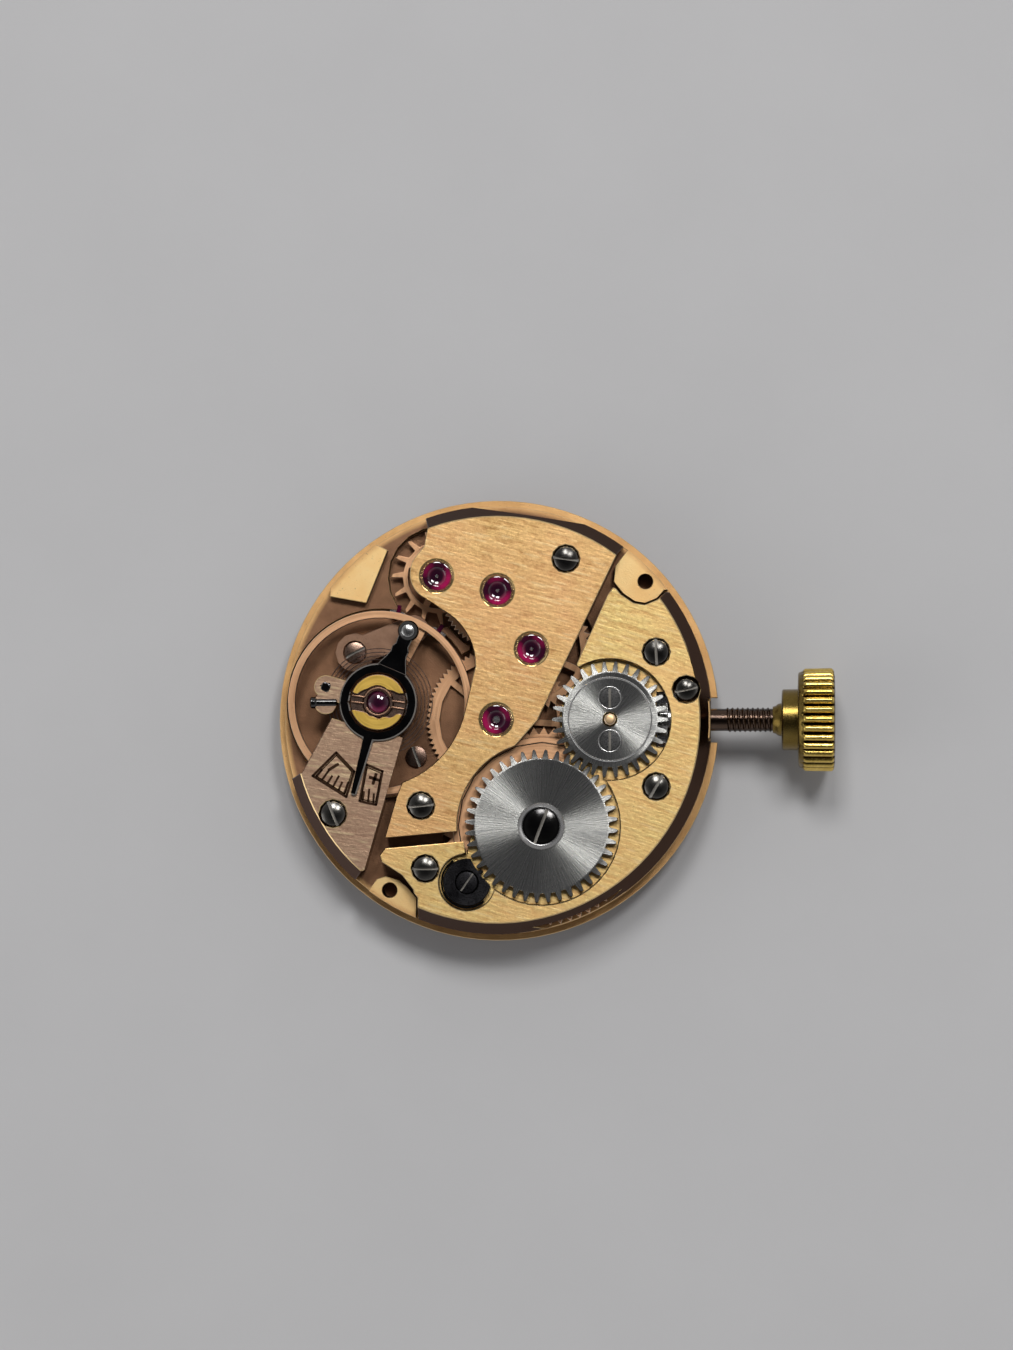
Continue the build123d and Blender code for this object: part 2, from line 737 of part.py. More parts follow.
# Mainplate: a flanged disc with a recess for each wheel and raised lugs for the case screws
with BuildPart() as mainplate:
    true_disc(center_axis, 0, flange_height, flange_radius)
    true_disc(center_axis, flange_height, seat_height, ring_radius)
    for lug_shares, top in (
        (upper_lug_shares, lug_top),
        (lower_lug_shares, lug_top),
        (pad_shares, pad_top),
    ):
        lug = outline_face(level(center_axis, flange_height), scaled(lug_shares))
        extrude(lug, amount=top - flange_height)
    with BuildSketch(level((winding_pinion_end, 0), flange_height)):
        Rectangle(
            ring_radius - winding_pinion_end,
            2 * (stem_radius + stem_wall),
            align=(Align.MIN, Align.CENTER),
        )
    extrude(amount=bridge_underside - level_gap - flange_height)
    turned(
        center_axis,
        [
            (flange_radius, 0),
            (flange_radius, flange_height),
            (ring_radius, flange_height),
            (ring_radius, bevel_foot_height),
            (bevel_top_radius, bridge_top),
        ],
        mode=Mode.INTERSECT,
    )
    for axis, radius in train_recesses:
        disc(axis, recess_floor, bridge_top, radius, Mode.SUBTRACT)
    true_disc(balance_axis, recess_floor, bridge_top, balance_recess_radius, Mode.SUBTRACT)
    disc(barrel_axis, drum_bottom - edge_gap, bridge_top, barrel_recess_radius, Mode.SUBTRACT)
    with BuildSketch(level(barrel_axis, drum_bottom - edge_gap)):
        Rectangle(
            2 * barrel_recess_radius,
            barrel_recess_radius,
            rotation=barrel_turn,
            align=(Align.MIN, Align.CENTER),
        )
    extrude(amount=bridge_top, mode=Mode.SUBTRACT)
    for axis, teeth, module in motion_recesses:
        disc(axis, -overrun, dial_recess_depth, (teeth / 2 + 2) * module, Mode.SUBTRACT)
    with BuildSketch(Plane.XY):
        with BuildLine():
            Polyline(
                (setting_axis[0], 0),
                (winding_pinion_start, -pinion_pocket_radius),
                (ring_radius - overrun, -lever_boss_radius),
                (ring_radius - overrun / 2, lever_pivot[1] + lever_boss_radius),
                (lever_pivot[0] - lever_boss_radius, yoke_pivot[1] + lever_boss_radius),
                (jumper_screw[0] + lever_boss_radius, jumper_screw[1] + lever_boss_radius),
                (jumper_screw[0] - lever_boss_radius, jumper_screw[1] + lever_boss_radius),
                (blade_spring_foot[0] - 4 * edge_gap, blade_spring_foot[1] + edge_gap),
                close=True,
            )
        make_face()
    extrude(amount=dial_recess_depth, mode=Mode.SUBTRACT)
    with BuildSketch(level((clutch_start - crown_pull - edge_gap, 0), 0)):
        Rectangle(
            winding_pinion_start - clutch_start + crown_pull + edge_gap,
            2 * clutch_pocket_radius,
            align=(Align.MIN, Align.CENTER),
        )
    extrude(amount=bridge_top, mode=Mode.SUBTRACT)
    with BuildSketch(level((winding_pinion_start - level_gap, 0), 0)):
        Rectangle(
            winding_pinion_end - winding_pinion_start + 2 * level_gap,
            2 * pinion_pocket_radius,
            align=(Align.MIN, Align.CENTER),
        )
    extrude(amount=bridge_top, mode=Mode.SUBTRACT)
    stem_disc(
        stem_pilot_start - overrun, stem_square_start, stem_pilot_radius + turning_gap, Mode.SUBTRACT
    )
    stem_disc(winding_pinion_end, flange_radius, stem_radius + turning_gap, Mode.SUBTRACT)
    with BuildSketch(level((stem_groove_at - 2 * lever_pin_radius, 0), 0)):
        Rectangle(
            crown_pull + 4 * lever_pin_radius,
            4 * lever_pin_radius,
            align=(Align.MIN, Align.CENTER),
        )
    extrude(amount=stem_height, mode=Mode.SUBTRACT)
    with BuildSketch(level((ring_radius - level_gap, 0), -overrun)):
        Rectangle(flange_radius, 4 * stem_radius, align=(Align.MIN, Align.CENTER))
    extrude(amount=bridge_top, mode=Mode.SUBTRACT)
    disc(center_axis, -overrun, bridge_top, center_jewel_radius, Mode.SUBTRACT)
    disc(barrel_axis, -overrun, bridge_top, barrel_pivot_radius + turning_gap, Mode.SUBTRACT)
    for post, radius in dial_posts:
        disc(post, keyless_level / 2, dial_recess_depth, radius)
    disc(balance_axis, -overrun, bridge_top, lower_shock_radius, Mode.SUBTRACT)
    for axis in lower_jewel_axes:
        disc(axis, -overrun, bridge_top, plate_jewel_radius, Mode.SUBTRACT)
    for place in (*train_screws, *barrel_screws, cock_screw, pallet_screw, recess_screw, lever_pivot):
        disc(place, -overrun, bridge_top, shank_radius + thread_gap, Mode.SUBTRACT)
    for place in case_screws:
        true_disc(place, lug_top - case_screw_depth, bridge_top, case_screw_radius, Mode.SUBTRACT)
    for place in dial_feet:
        true_disc(place, -overrun, dial_foot_depth, dial_foot_radius, Mode.SUBTRACT)
mainplate.part.label = "mainplate"
export_step(mainplate.part, "parts/mainplate.step")


# Train bridge: one piece over the center, third, fourth and escape wheels
with BuildPart() as train_bridge:
    with BuildSketch(level(center_axis, seat_height)):
        with BuildLine():
            head = scaled(train_head_shares)
            Polyline(*scaled(train_edge_shares), head[0])
            ThreePointArc(*head)
            Line(head[2], scaled(train_side_shares[0])[0])
            for arc_shares in train_side_shares:
                ThreePointArc(*scaled(arc_shares))
            Polyline(
                scaled(train_side_shares[-1])[-1],
                *scaled(train_tail_shares),
                scaled(train_edge_shares)[0],
            )
        make_face()
    extrude(amount=bridge_top - seat_height)
    rim_blank(seat_height)
    clear_of_lugs()
    true_disc(barrel_axis, seat_height, bridge_top, ratchet_tip_radius + bridge_parting, Mode.SUBTRACT)
    for axis, radius in train_recesses:
        disc(axis, seat_height, bridge_underside, radius, Mode.SUBTRACT)
    disc(balance_axis, seat_height, bridge_underside, balance_recess_radius, Mode.SUBTRACT)
    disc(barrel_axis, seat_height, barrel_recess_top, barrel_recess_radius, Mode.SUBTRACT)
    jewel_seats((center_axis, third_axis, fourth_axis, escape_axis))
    screw_seats(train_screws)
train_bridge.part.label = "train_bridge"
export_step(train_bridge.part, "parts/train_bridge.step")


# Barrel bridge: carries the barrel, the ratchet wheel, the crown wheel and the click
with BuildPart() as barrel_bridge:
    with BuildSketch(level(center_axis, seat_height)):
        with BuildLine():
            edge = scaled(barrel_edge_shares)
            ratchet_arc = [
                around(barrel_axis, ratchet_tip_radius - ratchet_overhang, turn)
                for turn in ratchet_side_turns
            ]
            crown_arc = [
                around(crown_wheel_axis, crown_wheel_tip_radius - crown_wheel_overhang, turn)
                for turn in crown_side_turns
            ]
            Polyline(crown_arc[-1], *edge, ratchet_arc[0])
            ThreePointArc(*ratchet_arc)
            Line(ratchet_arc[-1], crown_arc[0])
            ThreePointArc(*crown_arc)
        make_face()
    extrude(amount=bridge_top - seat_height)
    rim_blank(seat_height)
    clear_of_lugs()
    for axis, radius in train_recesses:
        disc(axis, seat_height, bridge_underside, radius, Mode.SUBTRACT)
    disc(barrel_axis, seat_height, barrel_recess_top, barrel_recess_radius, Mode.SUBTRACT)
    with BuildSketch(level(barrel_axis, seat_height)):
        Rectangle(
            2 * barrel_recess_radius,
            barrel_recess_radius,
            rotation=barrel_turn,
            align=(Align.MIN, Align.CENTER),
        )
    extrude(amount=bevel_foot_height - seat_height, mode=Mode.SUBTRACT)
    with BuildSketch(level((clutch_start - crown_pull - edge_gap, 0), seat_height)):
        Rectangle(
            winding_pinion_start - clutch_start + crown_pull + edge_gap,
            2 * clutch_pocket_radius,
            align=(Align.MIN, Align.CENTER),
        )
    extrude(amount=stem_height + clutch_pocket_radius - seat_height, mode=Mode.SUBTRACT)
    with BuildSketch(level((winding_pinion_start - level_gap, 0), seat_height)):
        Rectangle(
            winding_pinion_end - winding_pinion_start + 2 * level_gap,
            2 * pinion_pocket_radius,
            align=(Align.MIN, Align.CENTER),
        )
    extrude(amount=stem_height + pinion_pocket_radius - seat_height, mode=Mode.SUBTRACT)
    with BuildSketch(level((winding_pinion_end, 0), seat_height)):
        Rectangle(
            flange_radius,
            2 * (stem_radius + stem_wall + edge_gap),
            align=(Align.MIN, Align.CENTER),
        )
    extrude(amount=bridge_underside - seat_height, mode=Mode.SUBTRACT)
    stem_disc(
        stem_pilot_start - overrun, stem_square_start, stem_pilot_radius + turning_gap, Mode.SUBTRACT
    )
    for axis, radius in (
        (barrel_axis, ratchet_tip_radius),
        (crown_wheel_axis, crown_wheel_tip_radius),
        (click_axis, click_radius),
    ):
        true_disc(
            axis, winding_recess_floor, bridge_top + overrun, radius + winding_recess_gap, Mode.SUBTRACT
        )
    disc(crown_wheel_axis, winding_recess_floor, winding_wheel_top + core_thickness, core_pin_radius)
    disc(barrel_axis, seat_height, bridge_top, barrel_arbor_radius + turning_gap, Mode.SUBTRACT)
    disc(click_axis, seat_height, bridge_top, shank_radius + thread_gap, Mode.SUBTRACT)
    for side in (-core_screw_offset, core_screw_offset):
        place = (crown_wheel_axis[0], side)
        disc(place, seat_height, bridge_top, shank_radius + thread_gap, Mode.SUBTRACT)
    disc(lever_pivot, 0, bridge_top + overrun, screw_radius + screw_sink_gap, Mode.SUBTRACT)
    screw_seats(barrel_screws)
barrel_bridge.part.label = "barrel_bridge"
export_step(barrel_bridge.part, "parts/barrel_bridge.step")


# Balance cock: a foot at the rim and an arm that ends in a round head over the balance
with BuildPart() as balance_cock:
    with BuildSketch(level(center_axis, seat_height)):
        with BuildLine():
            Polyline(*scaled(cock_edge_shares), close=True)
        make_face()
        with Locations(balance_axis):
            Circle(cock_head_radius)
        with Locations(stud_axis, stud_screw_place):
            Circle(stud_ear_radius)
        with Locations(balance_axis):
            Rectangle(stud_distance, 2 * stud_ear_radius, rotation=stud_turn, align=(Align.MIN, Align.CENTER))
    extrude(amount=bridge_top - seat_height)
    rim_blank(seat_height)
    clear_of_lugs()
    true_disc(
        balance_axis, seat_height, cock_arm_bottom, balance_recess_radius + edge_gap, Mode.SUBTRACT
    )
    disc(balance_axis, seat_height, bridge_top + overrun, shock_radius, Mode.SUBTRACT)
    screw_seats([cock_screw])
    with BuildSketch(level(stud_axis, cock_arm_bottom - overrun)):
        RegularPolygon(stud_side / math.sqrt(3) + thread_gap, 3, rotation=stud_turn)
    extrude(amount=bridge_top, mode=Mode.SUBTRACT)
    with BuildSketch(stud_screw_plane):
        RegularPolygon(stud_screw_radius + thread_gap, pin_sides)
    extrude(amount=-stud_screw_length - thread_gap, mode=Mode.SUBTRACT)
    with BuildSketch(stud_screw_plane):
        RegularPolygon(stud_screw_head_radius + thread_gap, pin_sides)
    extrude(amount=overrun, mode=Mode.SUBTRACT)
balance_cock.part.label = "balance_cock"
export_step(balance_cock.part, "parts/balance_cock.step")


# Pallet cock: a small cock over the pallet fork, under the balance
with BuildPart() as pallet_cock:
    pallet_cock_turn = direction(pallet_screw, pallet_axis)
    pallet_cock_length = math.dist(pallet_screw, pallet_axis)
    disc(pallet_screw, recess_floor, pallet_cock_top, pallet_cock_foot_radius)
    strap(
        level(pallet_screw, pallet_cock_bottom),
        pallet_cock_length,
        pallet_cock_width,
        pallet_cock_top - pallet_cock_bottom,
        pallet_cock_turn,
    )
    disc(pallet_axis, pallet_cock_bottom, pallet_cock_top, pallet_cock_width / 2)
    disc(pallet_axis, 0, pallet_cock_top, pallet_jewel_radius + pivot_gap, Mode.SUBTRACT)
    disc(pallet_screw, recess_floor, pallet_cock_top, shank_radius + thread_gap, Mode.SUBTRACT)
    disc(
        pallet_screw,
        pallet_cock_top - small_screw_height,
        pallet_cock_top + overrun,
        small_screw_radius + screw_sink_gap,
        Mode.SUBTRACT,
    )
pallet_cock.part.label = "pallet_cock"
export_step(pallet_cock.part, "parts/pallet_cock.step")


# Barrel: a toothed drum with its cover, the mainspring inside it and the arbor through both
with BuildPart() as barrel_drum:
    extrude(
        gear_face(level(barrel_axis, drum_teeth_bottom), barrel_teeth, barrel_module, barrel_start),
        amount=drum_teeth_top - drum_teeth_bottom,
    )
    true_disc(barrel_axis, drum_bottom, drum_top, drum_radius)
    disc(barrel_axis, drum_bottom + drum_floor, drum_top + overrun, drum_radius - drum_wall, Mode.SUBTRACT)
    disc(barrel_axis, 0, drum_top, barrel_pivot_radius + 2 * turning_gap, Mode.SUBTRACT)
barrel_drum.part.label = "barrel_drum"
export_step(barrel_drum.part, "parts/barrel_drum.step")

with BuildPart() as barrel_cover:
    disc(barrel_axis, drum_top - cover_thickness, drum_top, drum_radius - drum_wall - turning_gap)
    disc(barrel_axis, 0, drum_top, barrel_arbor_radius + turning_gap, Mode.SUBTRACT)
barrel_cover.part.label = "barrel_cover"
export_step(barrel_cover.part, "parts/barrel_cover.step")

with BuildPart() as mainspring:
    mainspring_gap = coiled_band(
        Plane(
            origin=(barrel_axis[0], barrel_axis[1], drum_bottom + drum_floor + level_gap),
            x_dir=(1, 0, 0),
            z_dir=(0, 0, 1),
        ),
        barrel_core_radius + mainspring_margin + mainspring_thickness / 2,
        drum_radius - drum_wall - mainspring_margin - mainspring_thickness / 2,
        mainspring_turns,
        mainspring_sides,
        mainspring_thickness,
        drum_top - cover_thickness - drum_bottom - drum_floor - 2 * level_gap,
    )
mainspring.part.label = "mainspring"
export_step(mainspring.part, "parts/mainspring.step")

with BuildPart() as barrel_arbor:
    core_bottom = drum_bottom + drum_floor + turning_gap
    core_top = drum_top - cover_thickness - turning_gap
    true_disc(barrel_axis, flange_height / 2, core_bottom, barrel_pivot_radius)
    disc(barrel_axis, core_bottom, core_top, barrel_core_radius)
    disc(barrel_axis, core_top, winding_wheel_bottom, barrel_arbor_radius)
    with BuildSketch(level(barrel_axis, winding_wheel_bottom)):
        Rectangle(square_side, square_side)
    extrude(amount=winding_wheel_thickness - level_gap)
    disc(barrel_axis, core_bottom, bridge_top + overrun, shank_radius + thread_gap, Mode.SUBTRACT)
barrel_arbor.part.label = "barrel_arbor"
export_step(barrel_arbor.part, "parts/barrel_arbor.step")


# Winding wheels: the ratchet wheel on the barrel arbor and the crown wheel on its core
with BuildPart() as ratchet_wheel:
    with BuildSketch(level(barrel_axis, winding_wheel_bottom)):
        with BuildLine():
            Polyline(
                *gear_points(
                    ratchet_teeth,
                    ratchet_tip_radius - winding_tooth_depth,
                    ratchet_tip_radius,
                    ratchet_start,
                    leaf_root_share,
                ),
                close=True,
            )
        make_face()
        Rectangle(square_side + 2 * thread_gap, square_side + 2 * thread_gap, mode=Mode.SUBTRACT)
    extrude(amount=winding_wheel_thickness)
ratchet_wheel.part.label = "ratchet_wheel"
export_step(ratchet_wheel.part, "parts/ratchet_wheel.step")

with BuildPart() as ratchet_screw:
    bevel_bottom = winding_wheel_top + ratchet_screw_edge
    disc(barrel_axis, drum_bottom + 2 * drum_floor, winding_wheel_top, shank_radius)
    disc(barrel_axis, winding_wheel_top, bevel_bottom, ratchet_screw_radius)
    cone(
        barrel_axis,
        bevel_bottom,
        winding_wheel_top + ratchet_screw_height,
        ratchet_screw_radius,
        ratchet_screw_radius - ratchet_screw_bevel,
    )
    with BuildSketch(level(barrel_axis, winding_wheel_top + ratchet_screw_height - slot_depth)):
        Rectangle(2 * ratchet_screw_radius + overrun, 2 * slot_width, rotation=ratchet_screw_slot)
    extrude(amount=slot_depth + overrun, mode=Mode.SUBTRACT)
ratchet_screw.part.label = "ratchet_screw"
export_step(ratchet_screw.part, "parts/ratchet_screw.step")

with BuildPart() as crown_wheel:
    with BuildSketch(level(crown_wheel_axis, winding_wheel_bottom)):
        with BuildLine():
            Polyline(
                *gear_points(
                    crown_wheel_teeth,
                    crown_wheel_tip_radius - winding_tooth_depth,
                    crown_wheel_tip_radius,
                    0,
                    leaf_root_share,
                ),
                close=True,
            )
        make_face()
        Circle(core_collar_radius + turning_gap, mode=Mode.SUBTRACT)
    extrude(amount=winding_wheel_thickness)
crown_wheel.part.label = "crown_wheel"
export_step(crown_wheel.part, "parts/crown_wheel.step")

with BuildPart() as crown_wheel_core:
    head_bottom = winding_wheel_top + turning_gap
    disc(crown_wheel_axis, winding_recess_floor, head_bottom, core_collar_radius)
    disc(crown_wheel_axis, head_bottom, winding_wheel_top + core_thickness, core_radius)
    disc(crown_wheel_axis, 0, bridge_top + overrun, core_pin_radius + thread_gap, Mode.SUBTRACT)
    for side in (-core_screw_offset, core_screw_offset):
        place = (crown_wheel_axis[0], side)
        disc(place, 0, bridge_top + overrun, shank_radius + thread_gap, Mode.SUBTRACT)
        disc(
            place,
            winding_wheel_top + core_thickness - small_screw_height,
            bridge_top + overrun,
            core_screw_radius + screw_sink_gap,
            Mode.SUBTRACT,
        )
crown_wheel_core.part.label = "crown_wheel_core"
export_step(crown_wheel_core.part, "parts/crown_wheel_core.step")

with BuildPart() as crown_wheel_screws:
    for side in (-core_screw_offset, core_screw_offset):
        slotted_screw(
            (crown_wheel_axis[0], side),
            winding_wheel_top + core_thickness + screw_head_rise,
            core_screw_slot,
            core_screw_radius,
            small_screw_height,
            stem_height + clutch_pocket_radius + thread_gap,
        )
crown_wheel_screws.part.label = "crown_wheel_screws"
export_step(crown_wheel_screws.part, "parts/crown_wheel_screws.step")


# Click: a round pawl whose beak stands in a gap of the ratchet wheel, with its spring and screw
with BuildPart() as click:
    beak_turn = direction(click_axis, barrel_axis)
    click_top = winding_wheel_bottom + click_height
    true_disc(click_axis, winding_wheel_bottom, click_top, click_radius - edge_gap)
    true_disc(barrel_axis, 0, bridge_top + overrun, ratchet_tip_radius + edge_gap / 2, Mode.SUBTRACT)
    strap(
        level(click_axis, winding_wheel_bottom),
        click_distance - ratchet_tip_radius + click_beak_depth,
        click_beak_width,
        click_height,
        beak_turn,
    )
    disc(click_axis, 0, bridge_top + overrun, shank_radius + turning_gap, Mode.SUBTRACT)
    disc(
        click_axis,
        winding_wheel_bottom + click_height - small_screw_height,
        bridge_top + overrun,
        small_screw_radius + screw_sink_gap,
        Mode.SUBTRACT,
    )
click.part.label = "click"
export_step(click.part, "parts/click.step")

with BuildPart() as click_spring:
    with BuildSketch(level(click_axis, winding_recess_floor)):
        RegularPolygon(click_radius, recess_sides)
        RegularPolygon(click_radius - click_spring_width, recess_sides, mode=Mode.SUBTRACT)
        with BuildLine():
            Polyline(
                (0, 0),
                around((0, 0), 2 * click_radius, beak_turn - click_spring_angle / 2),
                around((0, 0), 2 * click_radius, beak_turn),
                around((0, 0), 2 * click_radius, beak_turn + click_spring_angle / 2),
                close=True,
            )
        make_face(mode=Mode.SUBTRACT)
    extrude(amount=click_height)
click_spring.part.label = "click_spring"
export_step(click_spring.part, "parts/click_spring.step")

with BuildPart() as click_screw:
    slotted_screw(
        click_axis,
        winding_wheel_bottom + click_height + screw_head_rise,
        click_screw_slot,
        small_screw_radius,
        small_screw_height,
        bridge_underside,
    )
click_screw.part.label = "click_screw"
export_step(click_screw.part, "parts/click_screw.step")


# Center wheel, its pinion arbor and the cannon pinion that holds the minute hand
with BuildPart() as center_wheel:
    plane = level(center_axis, center_wheel_height)
    extrude(gear_face(plane, center_teeth, center_module, third_turn), amount=wheel_thickness)
    cut_windows(
        plane,
        wheel_thickness,
        root_radius_of(center_teeth, center_module) - center_rim_width,
        hub_radius,
        arm_width,
        arm_count,
        center_arm_start,
    )
    disc(center_axis, 0, bridge_top, center_arbor_radius + thread_gap, Mode.SUBTRACT)
center_wheel.part.label = "center_wheel"
export_step(center_wheel.part, "parts/center_wheel.step")

with BuildPart() as center_arbor:
    cannon_top = minute_wheel_level + motion_thickness
    disc(center_axis, cannon_end + level_gap, upper_pivot_end, center_pivot_radius)
    disc(center_axis, cannon_top + turning_gap, upper_jewel_bottom - turning_gap, center_arbor_radius)
    extrude(
        gear_face(
            level(center_axis, center_pinion_bottom),
            center_pinion_teeth,
            barrel_module,
            center_pinion_start,
            leaf_root_share,
        ),
        amount=center_pinion_top - center_pinion_bottom,
    )
center_arbor.part.label = "center_arbor"
export_step(center_arbor.part, "parts/center_arbor.step")

with BuildPart() as cannon_pinion:
    true_disc(center_axis, cannon_end, cannon_end + hand_seat_length, hand_seat_radius)
    disc(center_axis, cannon_end + hand_seat_length, cannon_top, cannon_radius)
    extrude(
        gear_face(
            level(center_axis, minute_wheel_level),
            cannon_teeth,
            motion_module,
            minute_turn,
            leaf_root_share,
        ),
        amount=motion_thickness,
    )
    disc(center_axis, cannon_end - overrun, bridge_top, center_pivot_radius + thread_gap, Mode.SUBTRACT)
cannon_pinion.part.label = "cannon_pinion"
export_step(cannon_pinion.part, "parts/cannon_pinion.step")


# Third, fourth and escape wheels, each riveted to its own pinion
train_wheels = (
    ("third_wheel", third_axis, third_wheel_height, third_teeth, third_module, fourth_turn),
    ("fourth_wheel", fourth_axis, fourth_wheel_height, fourth_teeth, fourth_module, escape_turn),
)
for name, axis, height, teeth, module, start in train_wheels:
    with BuildPart() as wheel:
        plane = level(axis, height)
        extrude(gear_face(plane, teeth, module, start), amount=wheel_thickness)
        cut_windows(
            plane,
            wheel_thickness,
            root_radius_of(teeth, module) - small_rim_width,
            hub_radius,
            arm_width,
            arm_count,
            start,
        )
        disc(axis, 0, bridge_top, arbor_radius + thread_gap, Mode.SUBTRACT)
    wheel.part.label = name
    export_step(wheel.part, f"parts/{name}.step")

train_pinions = (
    (
        "third_pinion",
        third_axis,
        third_pinion_heights,
        third_pinion_teeth,
        center_module,
        third_pinion_start,
    ),
    (
        "fourth_pinion",
        fourth_axis,
        fourth_pinion_heights,
        fourth_pinion_teeth,
        third_module,
        fourth_pinion_start,
    ),
    (
        "escape_pinion",
        escape_axis,
        escape_pinion_heights,
        escape_pinion_teeth,
        fourth_module,
        escape_pinion_start,
    ),
)
for name, axis, (bottom, top), teeth, module, start in train_pinions:
    with BuildPart() as pinion:
        arbor(axis, lower_jewel_bottom, upper_pivot_end, arbor_radius, pivot_radius, pivot_length)
        leaves = gear_face(level(axis, bottom), teeth, module, start, leaf_root_share)
        extrude(leaves, amount=top - bottom)
    pinion.part.label = name
    export_step(pinion.part, f"parts/{name}.step")

with BuildPart() as escape_wheel:
    plane = level(escape_axis, escape_wheel_height)
    escape_pitch = 360 / escape_teeth
    escape_root = escape_radius - escape_tooth_depth
    club_points = []
    for tooth in range(escape_teeth):
        turn = line_turn + (tooth + escape_lead_share) * escape_pitch
        for pitch_share, depth_share in club_tooth_shares:
            radius = escape_root + depth_share * escape_tooth_depth
            club_points.append(around((0, 0), radius, turn + pitch_share * escape_pitch))
    extrude(outline_face(plane, club_points), amount=wheel_thickness)
    cut_windows(
        plane,
        wheel_thickness,
        escape_root - escape_rim_width,
        escape_hub_radius,
        arm_width,
        escape_arm_count,
        line_turn,
    )
    disc(escape_axis, 0, bridge_top, arbor_radius + thread_gap, Mode.SUBTRACT)
escape_wheel.part.label = "escape_wheel"
export_step(escape_wheel.part, "parts/escape_wheel.step")


# Pallet fork: two arms with a ruby stone each, and a lever that ends in horns at the balance
stone_reach = pallet_distance - escape_radius * math.cos(math.radians(stone_half_span))
stone_offset = escape_radius * math.sin(math.radians(stone_half_span))
pallet_plane = Plane(
    origin=(pallet_axis[0], pallet_axis[1], pallet_level),
    x_dir=(*around((0, 0), 1, line_turn + 180), 0),
    z_dir=(0, 0, 1),
)
arm_end = stone_reach - pallet_stone_length
with BuildPart() as pallet_fork:
    with BuildSketch(pallet_plane):
        Circle(pallet_arm_width)
        for side in (-1, 1):
            with BuildLine():
                Polyline(
                    (-pallet_arm_width / 2, 0),
                    (arm_end, side * (stone_offset + pallet_arm_width)),
                    (arm_end + pallet_arm_width, side * (stone_offset + pallet_arm_width)),
                    (arm_end + pallet_arm_width, side * (stone_offset - pallet_arm_width)),
                    (pallet_arm_width / 2, 0),
                    close=True,
                )
            make_face()
        Rectangle(balance_distance - impulse_orbit, pallet_lever_width, align=(Align.MAX, Align.CENTER))
        with Locations((-(balance_distance - horn_reach), 0)):
            Rectangle(horn_reach, horn_width, align=(Align.MIN, Align.CENTER))
            Rectangle(
                impulse_orbit + 2 * impulse_radius - horn_reach + horn_slot_width,
                horn_slot_width,
                align=(Align.MIN, Align.CENTER),
                mode=Mode.SUBTRACT,
            )
    extrude(amount=pallet_thickness)
    disc(pallet_axis, 0, bridge_top, arbor_radius + thread_gap, Mode.SUBTRACT)
    for side in (-1, 1):
        place = pallet_plane.from_local_coords(Vector(stone_reach, side * stone_offset, 0))
        stone_turn = line_turn + 180 + side * pallet_stone_tilt
        with BuildSketch(level((place.X, place.Y), 0)) as slot:
            Rectangle(
                pallet_stone_length + thread_gap,
                pallet_stone_width + 2 * thread_gap,
                rotation=stone_turn,
                align=(Align.MAX, Align.CENTER),
            )
        extrude(slot.sketch, amount=bridge_top, mode=Mode.SUBTRACT)
pallet_fork.part.label = "pallet_fork"
export_step(pallet_fork.part, "parts/pallet_fork.step")

with BuildPart() as pallet_stones:
    for side in (-1, 1):
        place = pallet_plane.from_local_coords(Vector(stone_reach, side * stone_offset, 0))
        stone_turn = line_turn + 180 + side * pallet_stone_tilt
        with BuildSketch(level((place.X, place.Y), pallet_level - level_gap / 2)) as stone:
            Rectangle(
                pallet_stone_length,
                pallet_stone_width,
                rotation=stone_turn,
                align=(Align.MAX, Align.CENTER),
            )
        extrude(stone.sketch, amount=pallet_stone_height)
pallet_stones.part.label = "pallet_stones"
export_step(pallet_stones.part, "parts/pallet_stones.step")

with BuildPart() as pallet_arbor:
    arbor(pallet_axis, lower_jewel_bottom, pallet_arbor_top, arbor_radius, pivot_radius, pivot_length)
pallet_arbor.part.label = "pallet_arbor"
export_step(pallet_arbor.part, "parts/pallet_arbor.step")


# Balance: a plain two-armed rim on its staff, with the roller, impulse jewel and hairspring
with BuildPart() as balance_wheel:
    true_disc(balance_axis, balance_bottom, balance_bottom + balance_rim_height, balance_radius)
    true_disc(balance_axis, 0, bridge_top, balance_radius - balance_rim_width, Mode.SUBTRACT)
    with BuildSketch(level(balance_axis, balance_bottom)) as arms:
        Rectangle(2 * balance_radius - balance_rim_width, balance_arm_width, rotation=balance_arm_turn)
        RegularPolygon(balance_hub_radius, ring_sides)
    extrude(amount=balance_arm_height)
    disc(balance_axis, 0, bridge_top, staff_radius + thread_gap, Mode.SUBTRACT)
balance_wheel.part.label = "balance_wheel"
export_step(balance_wheel.part, "parts/balance_wheel.step")

lower_shock_top = flange_height + level_gap
upper_shock_floor = cock_arm_bottom + shock_floor
with BuildPart() as balance_staff:
    arbor(
        balance_axis,
        lower_shock_top - staff_pivot_length,
        upper_shock_floor + staff_pivot_length,
        staff_radius,
        staff_pivot_radius,
        2 * staff_pivot_length,
    )
balance_staff.part.label = "balance_staff"
export_step(balance_staff.part, "parts/balance_staff.step")

impulse_axis = around(balance_axis, impulse_orbit, line_turn + 180)
with BuildPart() as roller:
    disc(balance_axis, roller_bottom, roller_bottom + roller_thickness, roller_radius)
    disc(balance_axis, 0, bridge_top, staff_radius + thread_gap, Mode.SUBTRACT)
    disc(impulse_axis, 0, bridge_top, impulse_radius + thread_gap / 2, Mode.SUBTRACT)
roller.part.label = "roller"
export_step(roller.part, "parts/roller.step")

